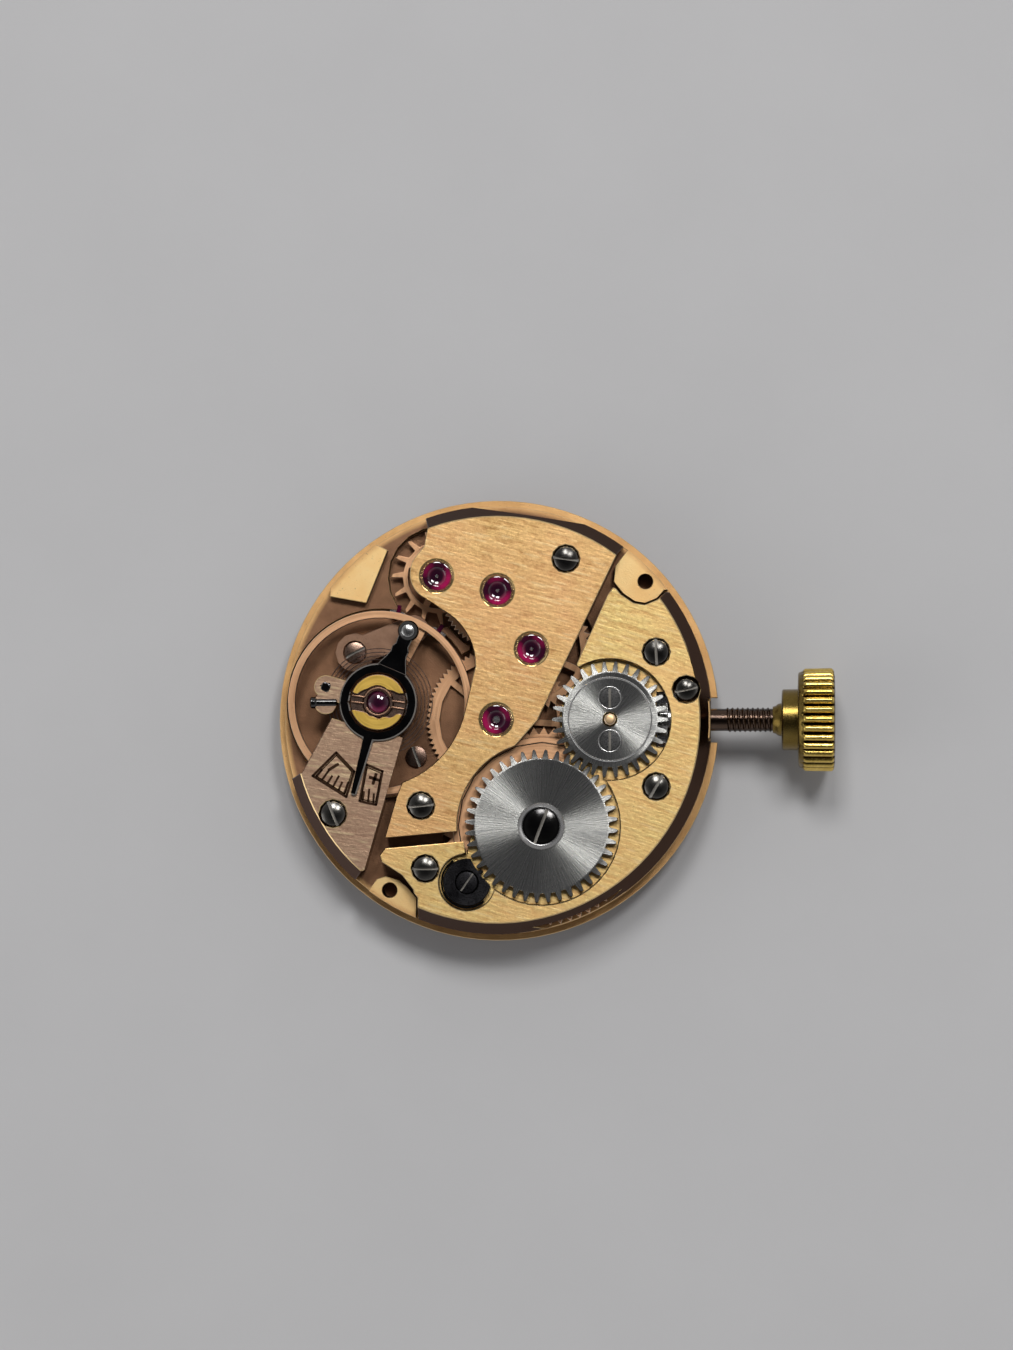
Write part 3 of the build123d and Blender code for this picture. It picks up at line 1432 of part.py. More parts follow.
with BuildPart() as impulse_jewel:
    disc(impulse_axis, impulse_bottom, roller_bottom + roller_thickness, impulse_radius)
impulse_jewel.part.label = "impulse_jewel"
export_step(impulse_jewel.part, "parts/impulse_jewel.step")

with BuildPart() as hairspring_collet:
    disc(balance_axis, collet_bottom, collet_bottom + collet_height, collet_radius)
    disc(balance_axis, 0, bridge_top, staff_radius + thread_gap, Mode.SUBTRACT)
hairspring_collet.part.label = "hairspring_collet"
export_step(hairspring_collet.part, "parts/hairspring_collet.step")

with BuildPart() as hairspring:
    hairspring_gap = coiled_band(
        Plane(
            origin=(balance_axis[0], balance_axis[1], hairspring_bottom),
            x_dir=(*around((0, 0), 1, stud_turn), 0),
            z_dir=(0, 0, 1),
        ),
        hairspring_inner_radius,
        stud_distance,
        hairspring_turns,
        hairspring_sides,
        hairspring_thickness,
        hairspring_height,
    )
hairspring.part.label = "hairspring"
export_step(hairspring.part, "parts/hairspring.step")

with BuildPart() as hairspring_stud:
    with BuildSketch(level(stud_axis, hairspring_bottom + hairspring_height + thread_gap)):
        RegularPolygon(stud_side / math.sqrt(3), 3, rotation=stud_turn)
    extrude(amount=bridge_top - hairspring_bottom - hairspring_height + screw_head_rise)
hairspring_stud.part.label = "hairspring_stud"
export_step(hairspring_stud.part, "parts/hairspring_stud.step")

with BuildPart() as stud_screw:
    with BuildSketch(stud_screw_plane):
        RegularPolygon(stud_screw_radius, pin_sides)
    extrude(amount=-stud_screw_length)
    with BuildSketch(stud_screw_plane):
        RegularPolygon(stud_screw_head_radius, pin_sides)
    extrude(amount=stud_screw_head_length)
stud_screw.part.label = "stud_screw"
export_step(stud_screw.part, "parts/stud_screw.step")


# Regulator: a ring round the upper shock setting, with the index tail and the curb pin arm
with BuildPart() as regulator:
    with BuildSketch(level(balance_axis, regulator_bottom)):
        Circle(regulator_ring_radius)
        with BuildLine():
            half_start = math.degrees(math.asin(regulator_tail_start_width / 2 / regulator_ring_radius))
            half_end = math.degrees(math.asin(regulator_tail_end_width / 2 / regulator_tail_length))
            Polyline(
                around((0, 0), regulator_ring_radius - edge_gap, regulator_tail_turn - half_start),
                around((0, 0), regulator_tail_length, regulator_tail_turn - half_end),
                around((0, 0), regulator_tail_length, regulator_tail_turn + half_end),
                around((0, 0), regulator_ring_radius - edge_gap, regulator_tail_turn + half_start),
                close=True,
            )
        make_face()
        Rectangle(
            regulator_arm_length,
            regulator_arm_width,
            rotation=regulator_arm_turn,
            align=(Align.MIN, Align.CENTER),
        )
        with Locations(around((0, 0), regulator_arm_length, regulator_arm_turn)):
            RegularPolygon(curb_boot_radius, boss_sides)
        RegularPolygon(shock_radius + turning_gap, head_sides, mode=Mode.SUBTRACT)
    extrude(amount=regulator_thickness)
    for side in (-1, 1):
        pin_distance = curb_distance + side * (curb_pin_radius + hairspring_thickness / 2 + thread_gap)
        disc(
            around(balance_axis, pin_distance, regulator_arm_turn),
            hairspring_bottom,
            regulator_bottom,
            curb_pin_radius,
        )
regulator.part.label = "regulator"
export_step(regulator.part, "parts/regulator.step")


# Shock settings of the balance: a block with a well, its jewels and, above, a lyre-shaped spring
with BuildPart() as upper_shock_block:
    disc(balance_axis, cock_arm_bottom, shock_top, shock_radius - thread_gap)
    disc(balance_axis, upper_shock_floor, shock_top + overrun, shock_well_radius, Mode.SUBTRACT)
    disc(balance_axis, 0, shock_top, staff_radius + turning_gap, Mode.SUBTRACT)
    with BuildSketch(level(balance_axis, shock_top - 2 * shock_spring_thickness)):
        Rectangle(2 * shock_radius, shock_slot_width)
    extrude(amount=overrun, mode=Mode.SUBTRACT)
upper_shock_block.part.label = "upper_shock_block"
export_step(upper_shock_block.part, "parts/upper_shock_block.step")

with BuildPart() as upper_shock_spring:
    with BuildSketch(level(balance_axis, shock_top - 2 * shock_spring_thickness + thread_gap)):
        RegularPolygon(shock_well_radius - thread_gap, boss_sides)
        Rectangle(2 * (shock_radius - edge_gap), shock_slot_width - 2 * thread_gap)
        RegularPolygon(shock_jewel_radius - edge_gap, pin_sides, mode=Mode.SUBTRACT)
    extrude(amount=shock_spring_thickness)
upper_shock_spring.part.label = "upper_shock_spring"
export_step(upper_shock_spring.part, "parts/upper_shock_spring.step")

with BuildPart() as upper_shock_jewels:
    hole_jewel_top = upper_shock_floor + staff_pivot_length
    jewel(
        balance_axis,
        upper_shock_floor,
        hole_jewel_top,
        shock_jewel_radius,
        staff_pivot_radius + pivot_gap,
    )
    disc(
        balance_axis,
        hole_jewel_top + thread_gap,
        shock_top - 2 * shock_spring_thickness,
        shock_jewel_radius,
    )
upper_shock_jewels.part.label = "upper_shock_jewels"
export_step(upper_shock_jewels.part, "parts/upper_shock_jewels.step")

with BuildPart() as lower_shock_block:
    disc(balance_axis, level_gap, lower_shock_top, lower_shock_radius - thread_gap)
    disc(balance_axis, 0, lower_shock_top, shock_jewel_radius + thread_gap, Mode.SUBTRACT)
lower_shock_block.part.label = "lower_shock_block"
export_step(lower_shock_block.part, "parts/lower_shock_block.step")


# Jewels: five in the bridges and seven in the plate, of which two carry the balance
pivot_bore = pivot_radius + pivot_gap
upper_jewel_top = upper_jewel_bottom + jewel_thickness
with BuildPart() as bridge_jewels:
    for axis, bore in (
        (center_axis, center_pivot_radius + pivot_gap),
        (third_axis, pivot_bore),
        (fourth_axis, pivot_bore),
        (escape_axis, pivot_bore),
    ):
        jewel(axis, upper_jewel_bottom, upper_jewel_top, jewel_radius - pivot_gap, bore)
    jewel(pallet_axis, pallet_cock_bottom, pallet_cock_top, pallet_jewel_radius, pivot_bore)
bridge_jewels.part.label = "bridge_jewels"
export_step(bridge_jewels.part, "parts/bridge_jewels.step")

hole_jewel_bottom = lower_shock_top - staff_pivot_length
with BuildPart() as plate_jewels:
    for axis in lower_jewel_axes:
        jewel(axis, lower_jewel_bottom, flange_height, plate_jewel_radius - pivot_gap, pivot_bore)
    disc(balance_axis, 2 * level_gap, hole_jewel_bottom - thread_gap, shock_jewel_radius)
    jewel(
        balance_axis,
        hole_jewel_bottom,
        lower_shock_top,
        shock_jewel_radius,
        staff_pivot_radius + pivot_gap,
    )
    jewel(
        center_axis,
        dial_recess_depth + thread_gap,
        flange_height,
        center_jewel_radius - pivot_gap,
        center_arbor_radius + pivot_gap,
    )
plate_jewels.part.label = "plate_jewels"
export_step(plate_jewels.part, "parts/plate_jewels.step")


# Screws of the bridges and cocks
with BuildPart() as train_bridge_screws:
    for place, slot_turn in zip(train_screws, train_screw_slots):
        slotted_screw(place, screw_top, slot_turn, screw_radius, screw_head_height, shank_end)
train_bridge_screws.part.label = "train_bridge_screws"
export_step(train_bridge_screws.part, "parts/train_bridge_screws.step")

with BuildPart() as barrel_bridge_screws:
    for place, slot_turn in zip(barrel_screws, barrel_screw_slots):
        slotted_screw(place, screw_top, slot_turn, screw_radius, screw_head_height, shank_end)
barrel_bridge_screws.part.label = "barrel_bridge_screws"
export_step(barrel_bridge_screws.part, "parts/barrel_bridge_screws.step")

with BuildPart() as balance_cock_screw:
    slotted_screw(cock_screw, screw_top, cock_screw_slot, screw_radius, screw_head_height, shank_end)
balance_cock_screw.part.label = "balance_cock_screw"
export_step(balance_cock_screw.part, "parts/balance_cock_screw.step")

with BuildPart() as small_screws:
    for place, top, slot_turn in (
        (pallet_screw, pallet_cock_top, pallet_screw_slot),
        (recess_screw, recess_floor + small_screw_height, recess_screw_slot),
    ):
        slotted_screw(place, top, slot_turn, small_screw_radius, small_screw_height, shank_end)
small_screws.part.label = "small_screws"
export_step(small_screws.part, "parts/small_screws.step")

with BuildPart() as setting_lever_screw:
    slotted_screw(
        lever_pivot,
        bridge_top - screw_bevel,
        lever_screw_slot,
        screw_radius - screw_bevel,
        screw_head_height,
        keyless_level,
    )
setting_lever_screw.part.label = "setting_lever_screw"
export_step(setting_lever_screw.part, "parts/setting_lever_screw.step")


# Stem and crown
with BuildPart() as winding_stem:
    stem_disc(stem_pilot_start, stem_square_start, stem_pilot_radius)
    with BuildSketch(across_stem(stem_square_start)):
        Rectangle(stem_square, stem_square)
    extrude(amount=stem_round_start - stem_square_start)
    stem_disc(stem_round_start, winding_pinion_end, stem_seat_radius)
    stem_disc(winding_pinion_end, stem_groove_at, stem_radius)
    true_stem_disc(stem_groove_at, crown_cone_start, stem_radius)
    with BuildSketch(across_stem(stem_groove_at - stem_groove_width / 2)):
        RegularPolygon(2 * stem_radius, pin_sides)
        RegularPolygon(stem_groove_radius, pin_sides, mode=Mode.SUBTRACT)
    extrude(amount=stem_groove_width, mode=Mode.SUBTRACT)
winding_stem.part.label = "winding_stem"
export_step(winding_stem.part, "parts/winding_stem.step")

crown_start = crown_hub_start + crown_hub_length
with BuildPart() as crown:
    flutes = gear_points(
        crown_flutes, crown_radius - crown_flute_depth, crown_radius, 0, wheel_root_share
    )
    extrude(outline_face(across_stem(crown_start), flutes), amount=crown_length - crown_edge)
    stem_disc(
        crown_start + crown_length - crown_edge, crown_start + crown_length, crown_radius - 2 * crown_edge
    )
    stem_disc(crown_hub_start, crown_start, crown_hub_radius)
    with Locations(Plane(origin=(crown_hub_start, 0, stem_height), z_dir=(-1, 0, 0))):
        Cone(
            crown_cone_radius,
            stem_radius + edge_gap,
            crown_hub_start - crown_cone_start,
            align=(Align.CENTER, Align.CENTER, Align.MIN),
        )
crown.part.label = "crown"
export_step(crown.part, "parts/crown.step")


# Winding pinion and sliding clutch, with saw teeth between them
with BuildPart() as winding_pinion:
    extrude(
        outline_face(
            across_stem(winding_pinion_start),
            gear_points(
                winding_pinion_teeth,
                winding_pinion_radius - winding_tooth_depth,
                winding_pinion_radius,
                winding_pinion_turn,
                leaf_root_share,
            ),
        ),
        amount=winding_tooth_length,
    )
    true_stem_disc(winding_pinion_start + winding_tooth_length, winding_pinion_end, winding_collar_radius)
    stem_disc(winding_pinion_start, winding_pinion_end, stem_seat_radius + turning_gap, Mode.SUBTRACT)
winding_pinion.part.label = "winding_pinion"
export_step(winding_pinion.part, "parts/winding_pinion.step")

with BuildPart() as clutch_wheel:
    stem_disc(clutch_start, clutch_end, clutch_radius)
    for end in (clutch_start, clutch_end - breguet_depth):
        with BuildSketch(across_stem(end)) as notches:
            for tooth in range(breguet_teeth):
                Rectangle(
                    2 * clutch_radius,
                    clutch_radius * math.pi / breguet_teeth,
                    rotation=tooth * 360 / breguet_teeth,
                    align=(Align.MIN, Align.CENTER),
                )
            RegularPolygon(clutch_groove_radius, boss_sides, mode=Mode.SUBTRACT)
        extrude(notches.sketch, amount=breguet_depth, mode=Mode.SUBTRACT)
    with BuildSketch(across_stem(clutch_groove_at - clutch_groove_width / 2)):
        RegularPolygon(2 * clutch_radius, boss_sides)
        RegularPolygon(clutch_groove_radius, boss_sides, mode=Mode.SUBTRACT)
    extrude(amount=clutch_groove_width, mode=Mode.SUBTRACT)
    with BuildSketch(across_stem(clutch_start - overrun)):
        Rectangle(stem_square + 2 * turning_gap, stem_square + 2 * turning_gap)
    extrude(amount=flange_radius, mode=Mode.SUBTRACT)
clutch_wheel.part.label = "clutch_wheel"
export_step(clutch_wheel.part, "parts/clutch_wheel.step")


# Setting lever, yoke and their springs on the dial side
keyless_top = keyless_level + keyless_thickness
with BuildPart() as setting_lever:
    pin_place = (stem_groove_at, 0)
    true_disc(lever_pivot, keyless_level, keyless_top, lever_boss_radius)
    strap(
        level(lever_pivot, keyless_level),
        math.dist(lever_pivot, pin_place) + lever_pin_radius,
        lever_arm_width,
        keyless_thickness,
        direction(lever_pivot, pin_place),
    )
    strap(
        level(lever_pivot, keyless_level),
        lever_tail_length,
        lever_arm_width,
        keyless_thickness,
        lever_tail_turn,
    )
    disc(pin_place, keyless_level, stem_height - stem_groove_radius - turning_gap, lever_pin_radius)
    disc(lever_pivot, 0, keyless_top, shank_radius + turning_gap, Mode.SUBTRACT)
setting_lever.part.label = "setting_lever"
export_step(setting_lever.part, "parts/setting_lever.step")

with BuildPart() as yoke:
    tip_place = (clutch_groove_at, 0)
    disc(yoke_pivot, keyless_level, dial_recess_depth - turning_gap, yoke_boss_radius)
    strap(
        level(yoke_pivot, keyless_level),
        math.dist(yoke_pivot, tip_place),
        yoke_arm_width,
        keyless_thickness,
        direction(yoke_pivot, tip_place),
    )
    with BuildSketch(level(tip_place, keyless_level)):
        Rectangle(yoke_tip_width, yoke_tip_length)
    extrude(amount=yoke_tip_top - keyless_level)
    disc(yoke_pivot, 0, dial_recess_depth, yoke_post_radius + turning_gap, Mode.SUBTRACT)
yoke.part.label = "yoke"
export_step(yoke.part, "parts/yoke.step")

with BuildPart() as setting_jumper:
    tail_end = around(lever_pivot, lever_tail_length + jumper_tip_gap, lever_tail_turn + jumper_tip_turn)
    disc(jumper_screw, keyless_level, dial_recess_depth, jumper_boss_radius)
    strap(
        level(jumper_screw, keyless_level),
        math.dist(jumper_screw, tail_end),
        jumper_blade_width,
        keyless_thickness,
        direction(jumper_screw, tail_end),
    )
    disc(jumper_screw, 0, dial_recess_depth, yoke_post_radius + thread_gap, Mode.SUBTRACT)
setting_jumper.part.label = "setting_jumper"
export_step(setting_jumper.part, "parts/setting_jumper.step")

with BuildPart() as yoke_spring:
    spring_end = (yoke_pivot[0] - yoke_boss_radius / 2, yoke_pivot[1] - 2 * yoke_boss_radius)
    disc(blade_spring_foot, keyless_level, dial_recess_depth, 2 * blade_spring_width)
    strap(
        level(blade_spring_foot, keyless_level),
        math.dist(blade_spring_foot, spring_end),
        blade_spring_width,
        keyless_thickness,
        direction(blade_spring_foot, spring_end),
    )
yoke_spring.part.label = "yoke_spring"
export_step(yoke_spring.part, "parts/yoke_spring.step")


# Motion works: the wheels that drive the hour hand from the cannon pinion
with BuildPart() as setting_wheel:
    extrude(
        gear_face(level(setting_axis, minute_wheel_level), setting_teeth, motion_module, setting_start),
        amount=motion_thickness,
    )
    disc(setting_axis, 0, bridge_top, minute_post_radius + turning_gap, Mode.SUBTRACT)
setting_wheel.part.label = "setting_wheel"
export_step(setting_wheel.part, "parts/setting_wheel.step")

with BuildPart() as minute_wheel:
    extrude(
        gear_face(level(minute_axis, minute_wheel_level), minute_teeth, motion_module, minute_start),
        amount=motion_thickness,
    )
    extrude(
        gear_face(
            level(minute_axis, hour_wheel_level),
            minute_pinion_teeth,
            hour_module,
            minute_turn + 180,
            leaf_root_share,
        ),
        amount=minute_wheel_level - hour_wheel_level,
    )
    disc(minute_axis, 0, bridge_top, minute_post_radius + turning_gap, Mode.SUBTRACT)
minute_wheel.part.label = "minute_wheel"
export_step(minute_wheel.part, "parts/minute_wheel.step")

with BuildPart() as hour_wheel:
    true_disc(center_axis, hour_tube_end, hour_wheel_level, hour_tube_radius)
    extrude(
        gear_face(level(center_axis, hour_wheel_level), hour_teeth, hour_module, hour_start),
        amount=motion_thickness,
    )
    disc(center_axis, hour_tube_end - overrun, bridge_top, cannon_radius + turning_gap, Mode.SUBTRACT)
hour_wheel.part.label = "hour_wheel"
export_step(hour_wheel.part, "parts/hour_wheel.step")


print(f"least gap between the hairspring's coils: {hairspring_gap:.3f} mm")
print(f"least gap between the mainspring's coils: {mainspring_gap:.3f} mm")
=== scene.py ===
import json
import math

import bmesh
import bpy
from mathutils import Matrix, Vector

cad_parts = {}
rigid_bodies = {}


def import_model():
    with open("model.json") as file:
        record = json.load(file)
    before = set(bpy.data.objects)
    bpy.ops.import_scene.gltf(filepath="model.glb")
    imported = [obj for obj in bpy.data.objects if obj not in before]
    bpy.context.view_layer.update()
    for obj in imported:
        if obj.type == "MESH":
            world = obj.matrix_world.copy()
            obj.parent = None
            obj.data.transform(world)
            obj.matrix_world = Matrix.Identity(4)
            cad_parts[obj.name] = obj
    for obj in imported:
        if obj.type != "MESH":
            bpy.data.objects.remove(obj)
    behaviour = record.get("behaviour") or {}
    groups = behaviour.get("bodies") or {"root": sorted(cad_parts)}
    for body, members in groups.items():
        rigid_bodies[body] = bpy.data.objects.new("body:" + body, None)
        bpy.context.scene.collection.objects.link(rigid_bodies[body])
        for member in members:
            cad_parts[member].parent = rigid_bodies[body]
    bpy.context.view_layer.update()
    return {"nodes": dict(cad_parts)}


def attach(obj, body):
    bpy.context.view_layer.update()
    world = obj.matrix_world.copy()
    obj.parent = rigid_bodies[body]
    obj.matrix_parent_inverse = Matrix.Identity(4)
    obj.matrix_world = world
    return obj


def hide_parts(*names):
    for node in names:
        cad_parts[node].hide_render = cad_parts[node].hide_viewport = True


for leftover in list(bpy.data.objects):
    bpy.data.objects.remove(leftover)

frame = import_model()

# Everything below is written in millimeters and degrees; Blender works in meters.
MM = 0.001

# Axes and other places, from the middle of the center wheel
CENTER = (0.0, 0.0)
THIRD = (1.3856, 2.7852)
FOURTH = (0.0383, 5.0909)
ESCAPE = (-2.3621, 5.6716)
PALLET = (-3.308, 3.6245)
BALANCE = (-4.667, 0.6833)
RATCHET = (1.7749, -4.2017)
CROWN_WHEEL = (4.4879, 0.0)
MINUTE_WHEEL = (1.5682, -1.8168)
CLICK = (-1.1641, -6.4164)
STUD = (-6.7487, 1.296)
REGULATOR_END = (-3.4713, 3.5001)

# Heights
FLOOR = -1.10
STEM_HEIGHT = 1.06
WHEEL_BOTTOM = 1.955
WHEEL_TOP = 2.255
BRIDGE_TOP = 2.25
SCREW_TOP = 2.27

# The middle of what a noise gives, stretched to the whole way from dark to light
CLOUD_RANGE = (0.34, 0.66)
GRAIN_RANGE = (0.3, 0.7)

# How level a face lies, 1 being level: where tops begin and are full, and where broken edges
# begin, are full, fade and end
TOP_STARTS, TOP_FULL = 0.93, 0.99
EDGE_STARTS, EDGE_FULL, EDGE_FADES, EDGE_ENDS = 0.60, 0.66, 0.89, 0.93

RUBY_IOR = 1.76

# Points nearer than this are one point, and a radius under it lies on the axis.
NEAR = 1e-5


# Node helpers


def put(tree, kind, sockets=None, **settings):
    """Adds a node with its settings, and values or links on its sockets."""
    made = tree.nodes.new(kind)
    for key, value in settings.items():
        setattr(made, key, value)
    for key, value in (sockets or {}).items():
        if isinstance(value, bpy.types.NodeSocket):
            tree.links.new(value, made.inputs[key])
        else:
            made.inputs[key].default_value = value
    return made


def calc(tree, what, *values):
    """One step of arithmetic."""
    return put(tree, "ShaderNodeMath", dict(enumerate(values)), operation=what).outputs[0]


def spread(tree, value, low, high, new_low=0.0, new_high=1.0):
    """Stretches a value from one range to another and holds it there."""
    sockets = {"Value": value, 1: low, 2: high, 3: new_low, 4: new_high}
    return put(tree, "ShaderNodeMapRange", sockets, clamp=True).outputs[0]


def graded(tree, value, low, high):
    """Turns a value between 0 and 1 into one between low and high."""
    return spread(tree, value, 0.0, 1.0, low, high)


def tone(red, green, blue):
    """A color without its alpha, as Blender wants it."""
    return (red, green, blue, 1.0)


def blend(tree, mask, first, second):
    """Goes from one color to another with a mask."""
    sockets = {"Factor": mask, 6: first, 7: second}
    return put(tree, "ShaderNodeMix", sockets, data_type="RGBA").outputs[2]


def tinted(tree, color, mask, amount, new_tone):
    """Lays a tone over a color where a mask says, by no more than an amount."""
    return blend(tree, calc(tree, "MULTIPLY", mask, amount), color, tone(*new_tone))


def noise(tree, where, scale, detail, roughness):
    """Soft noise at a place."""
    sockets = {"Vector": where, "Scale": scale, "Detail": detail, "Roughness": roughness}
    return put(tree, "ShaderNodeTexNoise", sockets).outputs[0]


def split(tree, vector):
    """The three parts of a vector."""
    return put(tree, "ShaderNodeSeparateXYZ", {0: vector}).outputs


def joined(tree, *parts):
    """A vector of three parts."""
    return put(tree, "ShaderNodeCombineXYZ", dict(enumerate(parts))).outputs[0]


def millimeters(tree):
    """The place on the piece in millimeters."""
    place = put(tree, "ShaderNodeTexCoord").outputs["Object"]
    sockets = {0: place, "Scale": 1 / MM}
    return put(tree, "ShaderNodeVectorMath", sockets, operation="SCALE").outputs[0]


def effect(name, inputs, outputs, fill):
    """A node group with named sockets that several materials share."""
    tree = bpy.data.node_groups.new(name, "ShaderNodeTree")
    for label, kind, value in inputs:
        socket = tree.interface.new_socket(name=label, in_out="INPUT", socket_type=kind)
        socket.default_value = value
    for label in outputs:
        tree.interface.new_socket(name=label, in_out="OUTPUT", socket_type="NodeSocketFloat")
    start = tree.nodes.new("NodeGroupInput")
    end = tree.nodes.new("NodeGroupOutput")
    for label, value in fill(tree, start.outputs).items():
        tree.links.new(value, end.inputs[label])
    return tree


def use(tree, group, sockets=None):
    """Places a shared effect in a material."""
    return put(tree, "ShaderNodeGroup", sockets, node_tree=group).outputs


# Shared effects


def fill_straight_brushing(tree, given):
    """Straight lines side by side, grain among them and a few bright scratches."""
    sockets = {"Vector": millimeters(tree), "Angle": given["Turn"]}
    place = put(tree, "ShaderNodeVectorRotate", sockets, rotation_type="Z_AXIS").outputs[0]
    parts = split(tree, place)
    # Each line reads the noise at a place of its own, this far from its neighbor's.
    step_along, step_aside = 7.31, 3.17

    def lines(stretch, density, detail):
        number = calc(tree, "FLOOR", calc(tree, "MULTIPLY", parts[1], density))
        course = calc(tree, "MULTIPLY", parts[0], stretch)
        along = calc(tree, "MULTIPLY_ADD", number, step_along, course)
        aside = calc(tree, "MULTIPLY", number, step_aside)
        return noise(tree, joined(tree, along, aside, 0.5), 1.0, detail, 0.6)

    fineness = given["Fineness"]
    broad = spread(tree, lines(0.9, fineness, 1.0), *CLOUD_RANGE)
    fine = spread(tree, lines(1.7, calc(tree, "MULTIPLY", fineness, 1.9), 1.0), *CLOUD_RANGE)
    scratch = spread(tree, lines(1.3, calc(tree, "MULTIPLY", fineness, 1.4), 0.0), 0.64, 0.74)
    grain = spread(tree, noise(tree, place, 7.0, 3.0, 0.7), 0.36, 0.64)
    lined = calc(tree, "MULTIPLY_ADD", fine, 0.35, calc(tree, "MULTIPLY", broad, 0.35))
    return {"Streak": calc(tree, "MULTIPLY_ADD", grain, 0.30, lined), "Scratch": scratch}


straight_brushing = effect(
    "straight_brushing",
    [("Turn", "NodeSocketFloat", 0.0), ("Fineness", "NodeSocketFloat", 9.0)],
    ["Streak", "Scratch"],
    fill_straight_brushing,
)


def fill_round_brushing(tree, given):
    """Fine rays from a middle, fine rings round it, and the place seen from it."""
    rays_a_radian, rings_a_millimeter, ring_wander = 70.0, 16.0, 0.8
    sockets = {0: millimeters(tree), 1: given["Middle"]}
    place = put(tree, "ShaderNodeVectorMath", sockets, operation="SUBTRACT").outputs[0]
    x, y, height = split(tree, place)
    angle = calc(tree, "ARCTAN2", y, x)
    level = joined(tree, x, y, 0.0)
    radius = put(tree, "ShaderNodeVectorMath", {0: level}, operation="LENGTH").outputs["Value"]
    ray_place = joined(tree, calc(tree, "MULTIPLY", angle, rays_a_radian), radius, height)
    ring = calc(tree, "MULTIPLY", radius, rings_a_millimeter)
    ring_place = joined(tree, ring, calc(tree, "MULTIPLY", angle, ring_wander), 0.0)
    return {
        "Ray": spread(tree, noise(tree, ray_place, 1.0, 3.0, 0.65), *GRAIN_RANGE),
        "Ring": spread(tree, noise(tree, ring_place, 1.0, 2.0, 0.6), *GRAIN_RANGE),
        "Radius": radius,
        "Angle": angle,
    }


round_brushing = effect(
    "round_brushing",
    [("Middle", "NodeSocketVector", (0.0, 0.0, 0.0))],
    ["Ray", "Ring", "Radius", "Angle"],
    fill_round_brushing,
)


def fill_age(tree, given):
    """Clouds of a given size, fine grain and a few specks of dirt."""
    place = millimeters(tree)
    return {
        "Cloud": spread(tree, noise(tree, place, given["Size"], 4.0, 0.6), *CLOUD_RANGE),
        "Grain": spread(tree, noise(tree, place, 26.0, 2.0, 0.6), *GRAIN_RANGE),
        "Speck": spread(tree, noise(tree, place, 11.0, 1.0, 0.5), 0.70, 0.76),
    }


age = effect("age", [("Size", "NodeSocketFloat", 0.5)], ["Cloud", "Grain", "Speck"], fill_age)


def fill_facing(tree, given):
    """Tells level tops and broken edges from walls."""
    normal = put(tree, "ShaderNodeNewGeometry").outputs["Normal"]
    level = calc(tree, "ABSOLUTE", split(tree, normal)[2])
    rising = spread(tree, level, EDGE_STARTS, EDGE_FULL)
    falling = spread(tree, level, EDGE_FADES, EDGE_ENDS, 1.0, 0.0)
    return {
        "Top": spread(tree, level, TOP_STARTS, TOP_FULL),
        "Edge": calc(tree, "MULTIPLY", rising, falling),
    }


facing = effect("facing", [], ["Top", "Edge"], fill_facing)


# Materials


def new_material(name):
    """An empty material, its nodes and its shader."""
    material = bpy.data.materials.new(name)
    material.use_nodes = True
    tree = material.node_tree
    return material, tree, tree.nodes["Principled BSDF"]


def finish_shader(tree, shader, color, roughness, height, strength, metallic=1.0, **constants):
    """Links the looks to the shader; what never varies is set on it directly."""
    tree.links.new(color, shader.inputs["Base Color"])
    tree.links.new(roughness, shader.inputs["Roughness"])
    sockets = {"Strength": strength, "Distance": 0.02 * MM, "Height": height}
    bump = put(tree, "ShaderNodeBump", sockets)
    tree.links.new(bump.outputs[0], shader.inputs["Normal"])
    shader.inputs["Metallic"].default_value = metallic
    for label, value in constants.items():
        shader.inputs[label.replace("_", " ")].default_value = value


def faced(tree, side, color, wall_shade, edge):
    """Gives walls a darker tone of their own as painted shade, and broken edges a brighter one as a
    painted highlight.
    """
    # Painted shade on the walls, then a painted highlight on the broken edges.
    color = blend(tree, side["Top"], tone(*wall_shade), color)
    return tinted(tree, color, side["Edge"], 0.8, edge)


def lay_brushing(tree, shader, axis, amount):
    """Draws the highlight of a brushed surface out across its brushing."""
    tangent = put(tree, "ShaderNodeTangent", direction_type="RADIAL", axis=axis)
    tree.links.new(tangent.outputs[0], shader.inputs["Tangent"])
    shader.inputs["Anisotropic"].default_value = amount


def brushed_gilding(name, light, dark, blush, wall_shade, turn):
    """Straight-brushed gilding whose bevels and walls are polished and darker by painted shade,
    with a painted highlight on broken edges.
    """
    material, tree, shader = new_material(name)
    brush = use(tree, straight_brushing, {"Turn": math.radians(turn)})
    years = use(tree, age, {"Size": 0.32})
    side = use(tree, facing)
    color = blend(tree, brush["Streak"], tone(*dark), tone(*light))
    color = tinted(tree, color, years["Cloud"], 0.45, blush)
    color = tinted(tree, color, brush["Scratch"], 0.22, (1.0, 0.84, 0.48))
    color = tinted(tree, color, years["Speck"], 0.35, (0.25, 0.14, 0.06))
    # Painted shade on walls and outer bevels, and a painted highlight on broken edges.
    color = faced(tree, side, color, wall_shade, (1.0, 0.74, 0.38))
    polished = 0.2
    brushed = calc(tree, "SUBTRACT", graded(tree, brush["Streak"], 0.50, 0.34), polished)
    roughness = calc(tree, "MULTIPLY_ADD", side["Top"], brushed, polished)
    height = calc(tree, "MULTIPLY", brush["Streak"], side["Top"])
    finish_shader(tree, shader, color, roughness, height, 0.34)
    lay_brushing(tree, shader, "X", 0.5)
    return material


